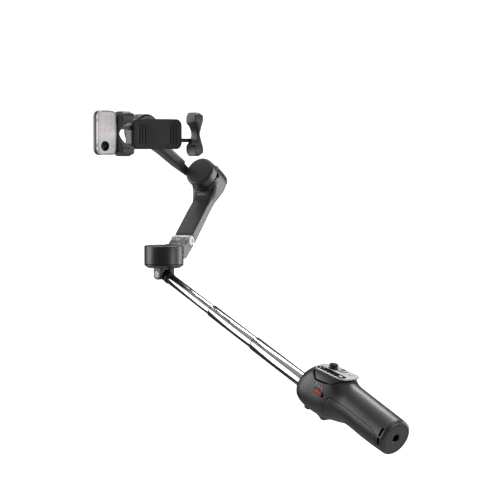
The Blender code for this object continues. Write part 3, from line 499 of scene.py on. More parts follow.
def noise(tree, scale, detail, stretch=None):
    """Noise in the piece's own coordinates. Stretch scales it along the rod's axes as well."""
    place = tree.nodes.new("ShaderNodeTexCoord")
    texture = set_inputs(tree.nodes.new("ShaderNodeTexNoise"), {"Scale": scale, "Detail": detail})
    source = place.outputs["Object"]
    if stretch:
        mapping = tree.nodes.new("ShaderNodeMapping")
        set_inputs(mapping, {"Rotation": (-ROD_TILT, 0.0, 0.0), "Scale": stretch})
        tree.links.new(source, mapping.inputs["Vector"])
        source = mapping.outputs["Vector"]
    tree.links.new(source, texture.inputs["Vector"])
    return texture.outputs["Fac"]


def spread(tree, value, low, high):
    """Maps the middle of the noise to a range of values."""
    mapping = tree.nodes.new("ShaderNodeMapRange")
    set_inputs(mapping, {"From Min": 0.3, "From Max": 0.7, "To Min": low, "To Max": high})
    tree.links.new(value, mapping.inputs["Value"])
    return mapping.outputs["Result"]


def tinted(tree, factor, dark, light):
    """Maps noise to a range of colours."""
    ramp = tree.nodes.new("ShaderNodeValToRGB")
    for stop, place, colour in zip(ramp.color_ramp.elements, (0.32, 0.68), (dark, light)):
        stop.position = place
        stop.color = (*colour, 1.0)
    tree.links.new(factor, ramp.inputs["Fac"])
    return ramp.outputs["Color"]


def finish(name, colour, rough, metal=0.0, grain=2600.0, relief=3e-5, mottle=90.0, contrast=0.06,
           stretch=None, emission=0.0, specular=0.5):
    """A surface whose colour, roughness and relief all vary a little, at the scale of the real finish."""
    material = bpy.data.materials.new(name)
    material.use_nodes = True
    tree = material.node_tree
    shader = tree.nodes["Principled BSDF"]
    set_inputs(shader, {"Metallic": metal, "Specular IOR Level": specular})
    dark = tuple(value * (1.0 - contrast) for value in colour)
    light = tuple(min(1.0, value * (1.0 + contrast)) for value in colour)
    patches = noise(tree, mottle, 4.0)
    tree.links.new(tinted(tree, patches, dark, light), shader.inputs["Base Color"])
    fine = noise(tree, grain, 3.0, stretch)
    smoothest, roughest = rough * (1.0 - ROUGHNESS_SPREAD), min(1.0, rough * (1.0 + ROUGHNESS_SPREAD))
    tree.links.new(spread(tree, fine, smoothest, roughest), shader.inputs["Roughness"])
    if emission:
        set_inputs(shader, {"Emission Color": (*colour, 1.0), "Emission Strength": emission})
    bump = set_inputs(tree.nodes.new("ShaderNodeBump"), {"Strength": 0.35, "Distance": relief})
    tree.links.new(fine, bump.inputs["Height"])
    tree.links.new(bump.outputs["Normal"], shader.inputs["Normal"])
    return material


def make_materials():
    """The finish of each material slot. Drawn tube has its grain stretched out along the rod."""
    lines = (1.0, 0.02, 1.0)
    return {
        "dark_plastic": finish("moulded_dark", (0.034, 0.034, 0.036), 0.37, grain=2400.0, relief=1.5e-6,
                               specular=0.9),
        "black_plastic": finish("moulded_black", (0.010, 0.010, 0.011), 0.45),
        "black_gloss": finish("gloss_black", (0.002, 0.002, 0.003), 0.22, relief=5e-7, specular=0.12),
        "silver_plastic": finish("satin_silver", (0.74, 0.74, 0.75), 0.34, metal=0.2, relief=1e-6),
        "tube_chrome": finish("drawn_chrome", (0.60, 0.60, 0.62), 0.09, metal=1.0, grain=900.0,
                              relief=3e-7, contrast=0.03, stretch=lines),
        "polished_pin": finish("machined_steel", (0.56, 0.56, 0.57), 0.40, metal=0.3, relief=1e-6),
        "red_plastic": finish("satin_red", (0.80, 0.055, 0.030), 0.38, relief=1e-5),
        "rubber_pad": finish("rubber_black", (0.016, 0.016, 0.017), 0.72, grain=1500.0, relief=8e-5),
        "copper_winding": finish("enamelled_copper", (0.55, 0.24, 0.09), 0.32, metal=1.0, contrast=0.15),
        "magnet_metal": finish("plated_steel", (0.22, 0.22, 0.23), 0.35, metal=1.0),
        "socket_metal": finish("blackened_steel", (0.030, 0.030, 0.031), 0.42, metal=1.0),
        "circuit_board": finish("solder_mask", (0.02, 0.10, 0.04), 0.4, contrast=0.2, mottle=400.0),
        "cell_wrap": finish("cell_sleeve", (0.05, 0.12, 0.30), 0.35),
        "lens_glass": finish("coated_lens", (0.004, 0.004, 0.006), 0.08, relief=5e-7, specular=0.25),
        "lamp_lens": finish("pale_diffuser", (0.76, 0.76, 0.77), 0.55, relief=2e-6),
    }


# Pieces


def clear_scene():
    """Removes everything that the scene starts with."""
    for item in list(bpy.data.objects):
        bpy.data.objects.remove(item, do_unlink=True)


def mesh_object(name, frame, shape):
    """An object whose mesh is the shape, placed by the frame, with its faces turned outwards."""
    points, faces = shape
    mesh = bpy.data.meshes.new(name)
    mesh.from_pydata([tuple(frame @ (Vector(point) * MM)) for point in points], [], faces)
    work = bmesh.new()
    work.from_mesh(mesh)
    bmesh.ops.recalc_face_normals(work, faces=work.faces)
    work.to_mesh(mesh)
    work.free()
    return placed(name, mesh)


def placed(name, data):
    """A new object in the scene."""
    item = bpy.data.objects.new(name, data)
    bpy.context.scene.collection.objects.link(item)
    return item


def apply_modifiers(item):
    """Replaces the mesh by what its modifiers make of it."""
    graph = bpy.context.evaluated_depsgraph_get()
    mesh = bpy.data.meshes.new_from_object(item.evaluated_get(graph))
    item.modifiers.clear()
    item.data = mesh


def shaped(name, frame, shape, steps=()):
    """A solid after its Boolean steps, each of which is (operation, frame, shape)."""
    item = mesh_object(name, frame, shape)
    tools = []
    for operation, tool_frame, tool_shape in steps:
        tool = mesh_object(f"{name}.tool", tool_frame, tool_shape)
        modifier = item.modifiers.new("shape", "BOOLEAN")
        modifier.operation = operation
        modifier.solver = "EXACT"
        modifier.object = tool
        tools.append(tool)
    if tools:
        bpy.context.view_layer.update()
        apply_modifiers(item)
    for tool in tools:
        bpy.data.objects.remove(tool, do_unlink=True)
    return item


def cuts(frame, *shapes):
    """The Boolean steps that take each shape away."""
    return [("DIFFERENCE", frame, shape) for shape in shapes]


def moulded(item, voxel, passes):
    """Rounds every edge as a mould does: the surface is remade at an even spacing, then relaxed."""
    remesh = item.modifiers.new("remesh", "REMESH")
    remesh.mode = "VOXEL"
    remesh.voxel_size = voxel * MM
    relaxed(item, passes)


def relaxed(item, passes, group=""):
    """Smooths the surface, all of it or as a vertex group weighs it, and applies what is pending."""
    relax = item.modifiers.new("relax", "SMOOTH")
    relax.factor = 0.5
    relax.iterations = passes
    relax.vertex_group = group
    apply_modifiers(item)


def eased(item, width, angle=38.0):
    """A fine rounding along the sharp edges of a machined or thin piece."""
    bevel = item.modifiers.new("ease", "BEVEL")
    bevel.width = width * MM
    bevel.segments = 3
    bevel.limit_method = "ANGLE"
    bevel.angle_limit = radians(angle)
    bevel.use_clamp_overlap = True
    apply_modifiers(item)


def node_places(record):
    """The body and the material slot of each CAD node."""
    slots = {row["node"]: row["material_slot"] for row in record["subparts"]}
    bodies = record["behaviour"]["bodies"]
    return {node: (body, slots[node]) for body, nodes in bodies.items() for node in nodes}


def show(item, node, sharp=40.0):
    """Gives a solid its body, its material and the CAD node that it stands for.

    A piece that stands for no node gives its (body, slot) in place of one.
    """
    is_node = isinstance(node, str)
    body, slot = places[node] if is_node else node
    item.data.materials.clear()
    item.data.materials.append(materials[slot])
    item.data.shade_smooth()
    if sharp:
        item.data.set_sharp_from_angle(angle=radians(sharp))
    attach(item, body)
    if is_node:
        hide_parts(node)
    return item


def piece(name, frame, shape, node, steps=(), ease=(), sharp=40.0):
    """Makes a solid, eases its edges where ease gives a width and perhaps an angle, and shows it."""
    item = shaped(name, frame, shape, steps)
    if ease:
        eased(item, *ease)
    return show(item, node, sharp)


def filleted(outline, radius, steps=5):
    """Rounds each corner of an outline, by less where its edges are short."""
    rounded = []
    count = len(outline)
    for index in range(count):
        here = Vector(outline[index])
        before = Vector(outline[index - 1]) - here
        after = Vector(outline[(index + 1) % count]) - here
        half = before.angle(after, pi) / 2
        if half > radians(87.0):
            rounded.append(tuple(here))
            continue
        reach = min(radius / tan(half), before.length * 0.49, after.length * 0.49)
        start = here + before.normalized() * reach
        end = here + after.normalized() * reach
        for step in range(steps + 1):
            t = step / steps
            point = start * (1 - t) ** 2 + here * (2 * t * (1 - t)) + end * t**2
            rounded.append(tuple(point))
    return rounded


def round_prism(outline, low, high, radius, steps=4):
    """An outline extruded from low to high, with both ends rounded over."""
    angles = [pi / 2 * step / steps for step in range(steps + 1)]
    edge = [(radius * (1 - sin(angle)), radius * (1 - cos(angle))) for angle in angles]
    levels = [(by, low + rise) for by, rise in edge] + [(by, high - rise) for by, rise in reversed(edge)]
    return stacked([(inset(outline, by) if by > 0.001 else outline, level) for by, level in levels])


# Handle


def smooth_stations():
    """The handle's stations with a cubic curve through them, evenly spaced."""
    table = np.array(HANDLE_STATIONS)
    slopes = np.gradient(table, table[:, 0], axis=0)
    stations = [tuple(table[0])]
    for index in range(len(table) - 1):
        low, high = table[index], table[index + 1]
        length = high[0] - low[0]
        pieces = max(2, round(length / STATION_STEP))
        for step in range(1, pieces + 1):
            t = step / pieces
            cubic = (2 * t**3 - 3 * t**2 + 1) * low + (t**3 - 2 * t**2 + t) * length * slopes[index]
            cubic += (3 * t**2 - 2 * t**3) * high + (t**3 - t**2) * length * slopes[index + 1]
            cubic[0] = low[0] + length * t
            stations.append(tuple(float(value) for value in cubic))
    return stations


def handle_wall():
    """The shell's wall: up its outside, round the edge of the nose and back down its inside."""
    stations = smooth_stations()
    outer = [handle_section(station) for station in stations]
    nose = [nose_section(HEAD_FRONT, NOSE_RADIUS), nose_section(HEAD_FRONT - 2.0, NOSE_RADIUS)]
    inner = [handle_section(station, SHELL_WALL) for station in reversed(stations) if station[0] < INSIDE_END]
    return loft(outer + nose + inner, ring=True)


def cover_zone(gap):
    """The region of the grip cover, with its edge moved inwards by the gap."""
    outline = [(67.4, -32.0), (67.4, -7.0), (65.8, 1.2), (57.0, 2.0), (40.0, 2.6), (15.0, 2.2)]
    outline += [(9.4, 0.6), (7.6, -8.0), (7.2, -32.0)]
    return along_x(prism(inset(filleted(outline, 7.0, 8), gap), -THROUGH, THROUGH))


def remote_zone(gap, front_gap):
    """The region of the remote, grown by the gap and by more in front, where it tips out."""
    under = gap + front_gap * 0.4
    outline = [(-17.0 - gap, 9.0), (-17.0 - gap, -1.2 - gap), (-8.0 - gap, -6.9 - gap)]
    if front_gap:
        outline += [(-5.0, -7.0 - gap), (-3.6, -7.04 - under)]
    outline += [(7.8 + front_gap * 0.4, -7.4 - under), (14.0 + front_gap, -1.8 - gap)]
    outline += [(17.0 + gap, -1.5 - gap), (17.0 + gap, 9.0)]
    return along_x(prism(filleted(outline, 1.6, 4), -THROUGH, THROUGH))


def make_handle():
    """The shell with its openings, the grip cover cut clear of the rod, and the end cap."""
    lamps = [along_x(prism(circle(0.75, 24, (y, LAMP_HEIGHT)), -17.0, -11.0)) for y in LAMP_PLACES]
    openings = cuts(HANDLE, cover_zone(-0.14)) + cuts(REMOTE, remote_zone(0.5, 2.4))
    openings += cuts(
        HANDLE,
        block((-4.4, 69.2, -30.0), (4.4, 81.5, -18.0)),
        block((-3.6, 91.2, -30.0), (3.6, 97.2, -18.0)),
        side_capsule((75.3, -0.9), 11.0, 3.9, 12.0, 20.0, -1),
        side_capsule((74.0, -6.0), 9.8, 4.0, 12.0, 20.0, 1),
        block((-16.0, 3.6, 0.7), (-10.6, 6.0, 7.6)),
        block((-16.0, 3.6, -7.0), (-10.6, 6.0, -0.7)),
        *lamps,
    )
    piece("handle_shell_moulding", HANDLE, handle_wall(), "handle_shell", openings, (0.22, 45.0))
    run = back_along_rod(ring(0.0, LINER_RADIUS + 0.1, 150.0, 262.0))
    steps = [("INTERSECT", HANDLE, cover_zone(0.34)), *cuts(ROD, run)]
    piece("grip_cover_moulding", HANDLE, handle_wall(), "grip_cover", steps, (0.22, 45.0))
    profile = [(3.3, 1.4), (3.3, 0.5), (3.8, 0.0), (12.6, 0.0), (13.3, 0.15), (13.9, 0.5), (14.4, 1.1)]
    profile += [(14.6, 1.8), (14.5, 2.1), (12.2, 2.1), (12.2, 5.0), (5.6, 5.0), (5.6, 1.4)]
    groove = along_y(ring(11.7, 12.1, -1.0, 0.25))
    piece("end_cap_moulding", HANDLE, along_y(turned(profile)), "end_cap", cuts(HANDLE, groove), sharp=30.0)


def make_controls():
    """The slider, the trigger and the button under the handle's head."""
    piece("power_slider_grip", HANDLE, side_capsule(SLIDER_AT, 8.2, 3.2, 12.9, 15.1, -1), "power_slider",
          slider_steps(), (0.18,))
    outline = [(1.0, 1.2), (-9.8, 0.8), (-10.0, -3.4), (-7.8, -6.2), (-4.8, -6.5), (-1.4, -5.4), (1.0, -4.9)]
    lever = along_x(round_prism(filleted(outline, 1.2, 6), -4.0, 4.0, 0.9))
    piece("trigger_lever", moved(HANDLE, TRIGGER_PIN), lever, "trigger", sharp=60.0)
    button = round_prism(rounded_rectangle(6.4, 5.2, 1.5, 6), 0.0, 6.0, 0.8)
    piece("underside_button_cap", moved(HANDLE, UNDER_BUTTON_AT), button, "underside_button", sharp=60.0)


def slider_steps():
    """The tongue behind the slider, then three shallow grip grooves across its face."""
    tongue = ("UNION", HANDLE, block((-13.2, 75.2, -1.7), (-11.4, 77.6, -0.1)))
    grooves = [block((-15.5, y - 0.2, -1.7), (-14.85, y + 0.2, -0.1)) for y in (74.9, 76.4, 77.9)]
    return [tongue, *cuts(HANDLE, *grooves)]


# Remote


def make_remote():
    """The case, the panel with its holes, and the touch strip with its marks."""
    body = loft([handle_section(station) for station in smooth_stations()])
    cavity = rounded_rectangle(CAVITY_WIDTH, CAVITY_LENGTH, 3.0, 8, (0.0, CAVITY_MIDDLE))
    steps = [("INTERSECT", REMOTE, remote_zone(0.0, 0.0))]
    steps += cuts(
        REMOTE,
        block((-25.0, -30.0, -PANEL_THICK), (25.0, 30.0, 20.0)),
        prism(cavity, -5.6, 2.0),
        prism(circle(JOYSTICK_HOLE + 0.1, 64, JOYSTICK_AT), -3.5, 1.9),
        prism(circle(MODE_HOLE, 64, MODE_AT), -2.7, 1.8),
    )
    piece("remote_case_moulding", HANDLE, body, "remote_case", steps, (0.25,))
    holes = ((JOYSTICK_AT, JOYSTICK_HOLE), (WHEEL_AT, WHEEL_HOLE), (MODE_AT, MODE_HOLE))
    strip_place = moved(REMOTE, (*TOUCH_AT, 0.0))
    steps = cuts(REMOTE, *(prism(circle(radius, 64, at), -3.0, 3.0) for at, radius in holes))
    steps += cuts(strip_place, capsule(TOUCH_LENGTH + 0.4, STRIP_WIDTH + 0.4, -0.7, 3.0, 16))
    outline = rounded_rectangle(PANEL_WIDTH, PANEL_LENGTH, PANEL_CORNER, 16)
    piece("remote_panel_deck", REMOTE, round_prism(outline, -PANEL_THICK + 0.05, 0.0, 0.35),
          "remote_panel", steps, sharp=30.0)
    outline = rounded_rectangle(STRIP_WIDTH, TOUCH_LENGTH, STRIP_WIDTH / 2 - 0.05, 16)
    piece("touch_strip_glass", strip_place, round_prism(outline, -0.65, 0.15, 0.1), "touch_strip",
          sharp=60.0)
    marks = [round_prism(circle(0.8, 24, at), 0.16, 0.26, 0.04) for at in ((-0.7, 12.0), (0.9, 9.6))]
    oval = round_prism(rounded_rectangle(2.4, 3.8, 1.19, 10), 0.16, 0.26, 0.04)
    marks.append(shifted(oval, (0.0, -10.6, 0.0)))
    piece("touch_strip_marks", strip_place, combined(marks), ("remote", "lamp_lens"), sharp=60.0)


def ridged(outer, depth, count, low, high):
    """A disc with an evenly ridged rim."""
    outline = []
    for step, (x, y) in enumerate(around(count * 4)):
        radius = outer - (depth if step % 4 in (2, 3) else 0.0)
        outline.append((radius * x, radius * y))
    return prism(outline, low, high)


def make_sticks():
    """The joystick with its ring, the zoom wheel with its button, and the mode button."""
    frame = moved(REMOTE, (*JOYSTICK_AT, -JOYSTICK_DEPTH))
    profile = [(3.1, -0.9), (3.9, -0.9), (3.9, 0.6), (3.6, 0.9), (3.1, 0.9)]
    piece("joystick_ring_turned", frame, turned(profile), "joystick_ring", sharp=30.0)
    profile = [(0.0, -1.6), (1.6, -1.6), (2.6, -0.8), (2.6, 0.3), (2.2, 0.8), (1.6, 1.1), (1.5, 1.5)]
    profile += [(1.5, 2.3), (0.0, 2.3)]
    piece("joystick_stem", frame, turned(profile), "joystick_stick", sharp=30.0)
    profile = [(0.0, 2.4), (2.5, 2.4), (3.2, 2.6), (3.6, 3.0), (3.7, 3.5), (3.65, 4.0), (3.4, 4.6)]
    profile += [(3.0, 4.9), (2.6, 4.95), (2.2, 4.75), (1.2, 4.55), (0.0, 4.5)]
    piece("joystick_cap_rubber", frame, turned(profile), "joystick_cap", sharp=60.0)
    frame = moved(REMOTE, (*WHEEL_AT, 0.0))
    steps = cuts(frame, ring(0.0, 2.2, -3.0, 3.0), ring(2.6, 3.1, 0.6, 2.0))
    piece("zoom_wheel_ridged", frame, ridged(3.6, 0.2, 28, -1.2, 0.9), "zoom_wheel", steps, (0.1, 50.0))
    profile = [(0.0, -1.6), (1.9, -1.6), (1.9, 0.3), (1.75, 0.5), (1.45, 0.6), (0.9, 0.52), (0.0, 0.48)]
    piece("wheel_button_cap", frame, turned(profile), "wheel_button", sharp=60.0)
    frame = moved(REMOTE, (*MODE_AT, 0.0))
    profile = [(0.0, -1.6), (2.9, -1.6), (2.9, 0.2), (2.75, 0.45), (2.4, 0.6), (1.4, 0.5), (0.0, 0.46)]
    piece("mode_button_cap", frame, turned(profile), "mode_button", sharp=60.0)


# Telescopic rod and the fork


def make_rod():
    """The three tubes, the dark rings in the mouths of the wider two, and the fitting at the head."""
    for number, (radius, mouth, end) in enumerate(zip(TUBE_RADII, TUBE_MOUTHS, TUBE_ENDS), start=1):
        body = f"tube_{number}"
        bore = radius - TUBE_WALL
        start = mouth + (MOUTH_RING if number > 1 else 0.0)
        profile = [(bore, start), (radius - 0.1, start), (radius, start + 0.2), (radius, end), (bore, end)]
        tube = back_along_rod(turned(profile))
        piece(f"tube_{number}_drawn", ROD, tube, body, sharp=30.0)
        if number > 1:
            back = mouth + MOUTH_RING - 0.05
            lip = [(bore, back), (bore, mouth), (radius - 0.25, mouth), (radius, mouth + 0.25)]
            lip = back_along_rod(turned([*lip, (radius, back)]))
            piece(f"tube_{number}_mouth_ring", ROD, lip, (body, "black_plastic"), sharp=30.0)
    profile = [(0.0, 5.6), (3.8, 5.6), (4.6, 5.9), (5.0, 6.4), (5.1, 7.0), (5.1, 8.8), (3.8, 8.8)]
    profile += [(3.8, 17.0), (0.0, 17.0)]
    tongue = [(4.2, 0.0), (3.0, 3.0), (0.0, 4.2), (-7.0, 4.0), (-7.0, -4.0), (0.0, -4.2), (3.0, -3.0)]
    tongue = along_x(round_prism(filleted(tongue, 2.0, 6), -TONGUE_HALF, TONGUE_HALF, 0.4))
    steps = [("UNION", ROD, tongue), *cuts(ROD, cross_bore(PIN_BORE, -6.0, 6.0))]
    piece("rod_head_fitting", ROD, back_along_rod(turned(profile)), "rod_head", steps, sharp=35.0)


def cross_bore(radius, low, high):
    """A cylinder along the tilt pin's axis."""
    return along_x(prism(circle(radius, 48), low, high))


def make_fork():
    """The drum's fixed lower part with the fork's two cheeks, and the tilt pin."""
    low, radius, top = DRUM_BOTTOM, DRUM_RADIUS, DRUM_SPLIT
    profile = [(0.0, low), (13.4, low), (13.9, low + 0.15), (radius - 0.3, top - 0.9), (radius, top - 0.5)]
    profile += [(radius, top), (13.0, top), (13.0, 7.0), (4.6, 7.0), (4.6, 16.0), (3.9, 16.0), (3.9, 7.6)]
    profile.append((0.0, 7.6))
    cheek = [(4.6, 6.2), (-4.6, 6.2), (-4.6, -1.6), (-3.2, -4.0), (0.0, -4.9), (3.2, -4.0), (4.6, -1.6)]
    cheek = filleted(cheek, 2.2, 6)
    steps = []
    for inner, outer in ((-FORK_HALF, -3.3), (3.3, FORK_HALF)):
        steps.append(("UNION", PAN, along_x(round_prism(cheek, inner, outer, 0.5))))
    bores = ((PIN_BORE, -10.0, 10.0), (3.5, -9.0, -7.0), (3.5, 7.0, 9.0))
    steps += cuts(PAN, *(cross_bore(*bore) for bore in bores))
    piece("fork_base_casting", PAN, turned(profile), "fork_base", steps, sharp=35.0)
    end = FORK_HALF + 0.2
    half = [(1.6, 7.1), (3.2, 7.1), (3.2, end - 0.4), (2.8, end), (1.4, end), (1.2, end - 0.3)]
    half.append((0.0, end - 0.3))
    piece("tilt_pin_turned", PAN, along_x(turned(mirrored(half))), "tilt_pin", sharp=30.0)


def mirrored(half):
    """A profile with two like ends, from its upper half."""
    return [(radius, -height) for radius, height in reversed(half)] + half


def make_pan():
    """The drum's turning cap, the short link beside it and the fold barrel."""
    radius, top = DRUM_RADIUS, DRUM_TOP
    profile = [(0.0, 22.9), (14.7, 22.9), (14.7, 8.7), (radius - 0.2, 8.7), (radius, 8.9)]
    profile += [(radius, top - 0.9), (radius - 0.25, top - 0.4), (radius - 0.7, top - 0.1)]
    profile += [(radius - 1.2, top), (11.5, top), (11.3, top - 0.25), (11.0, top - 0.25), (10.8, top)]
    profile.append((0.0, top))
    piece("pan_housing_cap", PAN, turned(profile), "pan_housing", sharp=30.0)
    outline = [(13.0, 24.8), (16.5, 12.4), (21.4, 12.4), (33.8, 23.4), (30.4, 27.0), (25.6, 29.6)]
    outline.append((20.4, 24.8))
    link = upright(round_prism(filleted(outline, 1.6, 5), -ARM_HALF, ARM_HALF, 0.8))
    steps = cuts(LINK, ring(0.0, radius + 0.35, -2.0, top + GAP))
    steps += cuts(ARM, fold_bore(), fold_relief(-1, LINK_REACH))
    piece("lower_link_casting", LINK, link, "lower_link", steps, (0.2, 45.0))
    wide = BARREL_RADIUS
    half = [(2.4, 4.6), (wide, 4.6), (wide, 9.0), (wide - 0.6, 9.5), (1.8, 9.5), (1.6, 9.1), (0.0, 9.1)]
    piece("fold_barrel_turned", ARM, along_y(turned(mirrored(half))), "fold_barrel", sharp=30.0)


# Arm and roll motor


def make_arm():
    """The arm with its motor cup and knee, the strip over its cable, a small raised silver tab below the
    motor whose colour is a painted highlight, and the fold eye.
    """
    back = ROLL_BACK
    radius = ROLL_RADIUS
    cup = [(0.0, ROLL_SPLIT + 0.5), (radius, ROLL_SPLIT + 0.5), (radius, back - 3.4)]
    cup += [(radius - 0.5, back - 2.2), (radius - 1.6, back - 1.1), (radius - 3.0, back - 0.4)]
    cup += [(radius - 4.6, back), (0.0, back)]
    steps = [("UNION", ROLL, turned(cup)), ("UNION", ROLL, knee())]
    steps += cuts(
        ROLL,
        ring(0.0, 20.0, 60.0, ROLL_SPLIT + 0.4),
        ring(4.7, 11.9, ROLL_SPLIT, 89.4),
        ring(0.0, 3.9, ROLL_SPLIT - 1.0, 88.0),
    )
    steps += cuts(ARM, fold_bore(), fold_relief(1, ARM_REACH))
    steps += cuts(ROLL, block((-14.5, -0.5, 79.0), (-11.6, 4.5, 82.4)))
    steps += cuts(arm_channel_frame(), block((12.0, -5.6, 1.2), (50.0, 5.6, 9.0)))
    outline = filleted(arm_outline(), 6.0, 8)
    arm = shaped("arm_casting", ARM, upright(round_prism(outline, -ARM_HALF, ARM_HALF, 1.0)), steps)
    moulded(arm, 0.40, 6)
    softened(arm, 90)
    show(arm, "arm_shell", None)
    outline = rounded_rectangle(37.4, 10.6, 1.2, 6, (31.0, 0.0))
    piece("arm_cable_cover", arm_channel_frame(), round_prism(outline, 2.2, 3.6, 0.3), "arm_cover",
          sharp=60.0)
    # A small raised tab in silver: its colour paints the highlight along a lit edge below the roll motor.
    piece("arm_painted_highlight_tab", ROLL, block((-4.4, -16.6, 83.4), (4.4, -15.7, 84.8)), ("arm", "polished_pin"),
          ease=(0.2,), sharp=30.0)
    eye = upright(frame_prism(circle(BARREL_RADIUS), circle(2.7), -EYE_HALF, EYE_HALF))
    piece("arm_eye_turned", ARM, eye, "arm_eye", ease=(0.2,), sharp=30.0)


def softened(item, passes):
    """Relaxes the back of the motor cup and the knee below it much more, as one broad rounded casting."""
    front = ROLL_SPLIT + 2.6
    low_end = -34.0
    group = item.vertex_groups.new(name="soft")
    place = ROLL.inverted()
    for vertex in item.data.vertices:
        local = place @ vertex.co / MM
        if local.z > front and local.y > low_end:
            weight = min(1.0, (local.z - front) / 3.0) * min(1.0, (local.y - low_end) / 10.0)
            group.add([vertex.index], weight, "REPLACE")
    relaxed(item, passes, group.name)


def knee():
    """The tapered body that carries the motor cup's full width down into the narrower arm."""
    table = np.array(KNEE_STATIONS)
    sections = []
    for down in np.linspace(table[0][0], table[-1][0], 24):
        half, low, high = (float(np.interp(down, table[:, 0], table[:, column])) for column in (1, 2, 3))
        outline = rounded_rectangle(2 * half, high - low, 3.0, 8)
        sections.append([(x, -float(down), z + (low + high) / 2) for x, z in outline])
    return loft(sections)


def make_roll():
    """The motor's front disc and the bracket behind the phone, with a motor's cup at each end."""
    front = ROLL_FACE
    disc = [(0.0, front), (11.4, front), (12.1, front + 0.15), (12.7, front + 0.5), (13.1, front + 0.9)]
    disc += [(13.2, front + 1.2), (0.0, front + 1.2)]
    piece("roll_disc_cap", ROLL, turned(disc), "roll_disc", sharp=45.0)
    split = ROLL_SPLIT - 0.4
    steps = cuts(CLAMP, along_y(ring(0.0, 13.6, 15.0, 33.6)))
    steps += cuts(
        ROLL,
        ring(0.0, 14.6, 60.0, front + 1.7),
        ring(0.0, 12.8, front + 1.6, 99.0),
        ring(0.0, 18.0, split - 0.2, 98.0),
    )
    steps.append(("UNION", ROLL, turned(roll_cup(front + 1.4, split))))
    steps.append(("UNION", CLAMP, along_y(turned(swivel_case()))))
    part = shaped("bracket_casting", CLAMP, bracket_beam(), steps)
    moulded(part, 0.38, 4)
    show(part, "bracket", None)


def roll_cup(front, split):
    """The roll motor's rotor cup: a shallow pocket for the magnets and a hole for the shaft."""
    cup = [(0.0, 72.6), (2.6, 72.6), (2.6, 74.4), (12.2, 74.4), (12.2, split), (ROLL_RADIUS - 0.25, split)]
    cup += [(ROLL_RADIUS, split - 0.25), (ROLL_RADIUS, front + 0.3), (ROLL_RADIUS - 0.3, front), (0.0, front)]
    return cup


def swivel_case():
    """The swivel motor's cup, with a hollow post in its middle for the shaft."""
    outer = SWIVEL_RADIUS
    case = [(0.0, 32.6), (3.8, 32.6), (3.8, 19.2), (4.6, 19.2), (4.6, 32.6), (12.9, 32.6), (12.9, 19.2)]
    case += [(outer, 19.2), (outer, 32.6), (outer - 0.4, 33.6), (outer - 1.2, 34.4), (outer - 2.4, 34.8)]
    return case + [(0.0, 34.8)]


def bracket_beam():
    """The slanted beam between the two motors. A station has its centre, its thickness and its depth."""
    stations = (
        ((10.0, 27.5, -7.0), 11.0, 13.0),
        ((26.0, 28.5, -17.0), 9.0, 12.0),
        ((42.0, 29.8, -27.0), 9.0, 11.0),
        ((57.5, 30.6, -36.5), 7.5, 8.5),
    )
    along = Vector((54.0, 0.0, -34.0)).normalized()
    across_beam = Vector((-along.z, 0.0, along.x))
    sections = []
    for centre, thick, deep in stations:
        outline = rounded_rectangle(thick, deep, 2.4, 8)
        sections.append([tuple(Vector(centre) + across_beam * a + FORWARD * b) for a, b in outline])
    return loft(sections)


# Clamp


def make_clamp():
    """The clamp's housing with its two rack slots, and the grooved rubber pad in front of it."""
    frame = moved(CLAMP, (0.0, 0.0, JAW_MID))
    outline = rounded_rectangle(54.0, 26.0, 6.0, 12)
    steps = cuts(frame, upright(prism(rounded_rectangle(50.4, 22.4, 4.4, 8), -14.0, -5.0)))
    for low, high, z in ((-30.0, -20.0, RACK_OFF), (20.0, 30.0, -RACK_OFF)):
        steps += cuts(frame, block((low, 7.4, z - 2.0), (high, 11.8, z + 2.0)))
    piece("clamp_housing_moulding", frame, upright(round_prism(outline, -15.8, -6.2, 1.2)),
          "clamp_housing", steps, sharp=30.0)
    piece("clamp_pad_rubber", frame, upright(round_prism(outline, -6.1, -4.4, 0.7)), "clamp_pad",
          pad_grooves(frame), (0.15, 45.0))


def pad_grooves(frame):
    """Shallow upright grooves in the rubber on both sides of its smooth middle."""
    grooves = []
    for x in (-14.0, -17.0, -20.0, 14.0, 17.0, 20.0):
        groove = rounded_rectangle(1.1, 17.0, 0.54, 6, (x, 0.0))
        grooves.append(upright(prism(groove, -4.9, -3.0)))
    return cuts(frame, *grooves)


def jaw_front_view(out):
    """The jaw seen from in front: a block with round outer corners and a round scoop in its inner side."""
    centre = out - 2.6 - SCOOP_RADIUS
    tip = PHONE_HALF_WIDTH - LIP
    outline = [(tip + 1.6, JAW_LOW), (out - 3.0, JAW_LOW), (out, JAW_LOW + 3.0), (out, JAW_HIGH - 3.0)]
    outline += [(out - 3.0, JAW_HIGH), (tip + 1.6, JAW_HIGH), (tip, JAW_HIGH - 1.6)]
    half = sqrt(SCOOP_RADIUS**2 - (tip - centre) ** 2)
    start = atan2(half, tip - centre)
    outline.append((tip, JAW_MID + half))
    for step in range(1, 48):
        angle = start * (1 - step / 24)
        x = centre + SCOOP_RADIUS * cos(angle)
        outline.append((x, JAW_MID + SCOOP_RADIUS * sin(angle)))
    outline += [(tip, JAW_MID - half), (tip, JAW_LOW + 1.6)]
    return outline


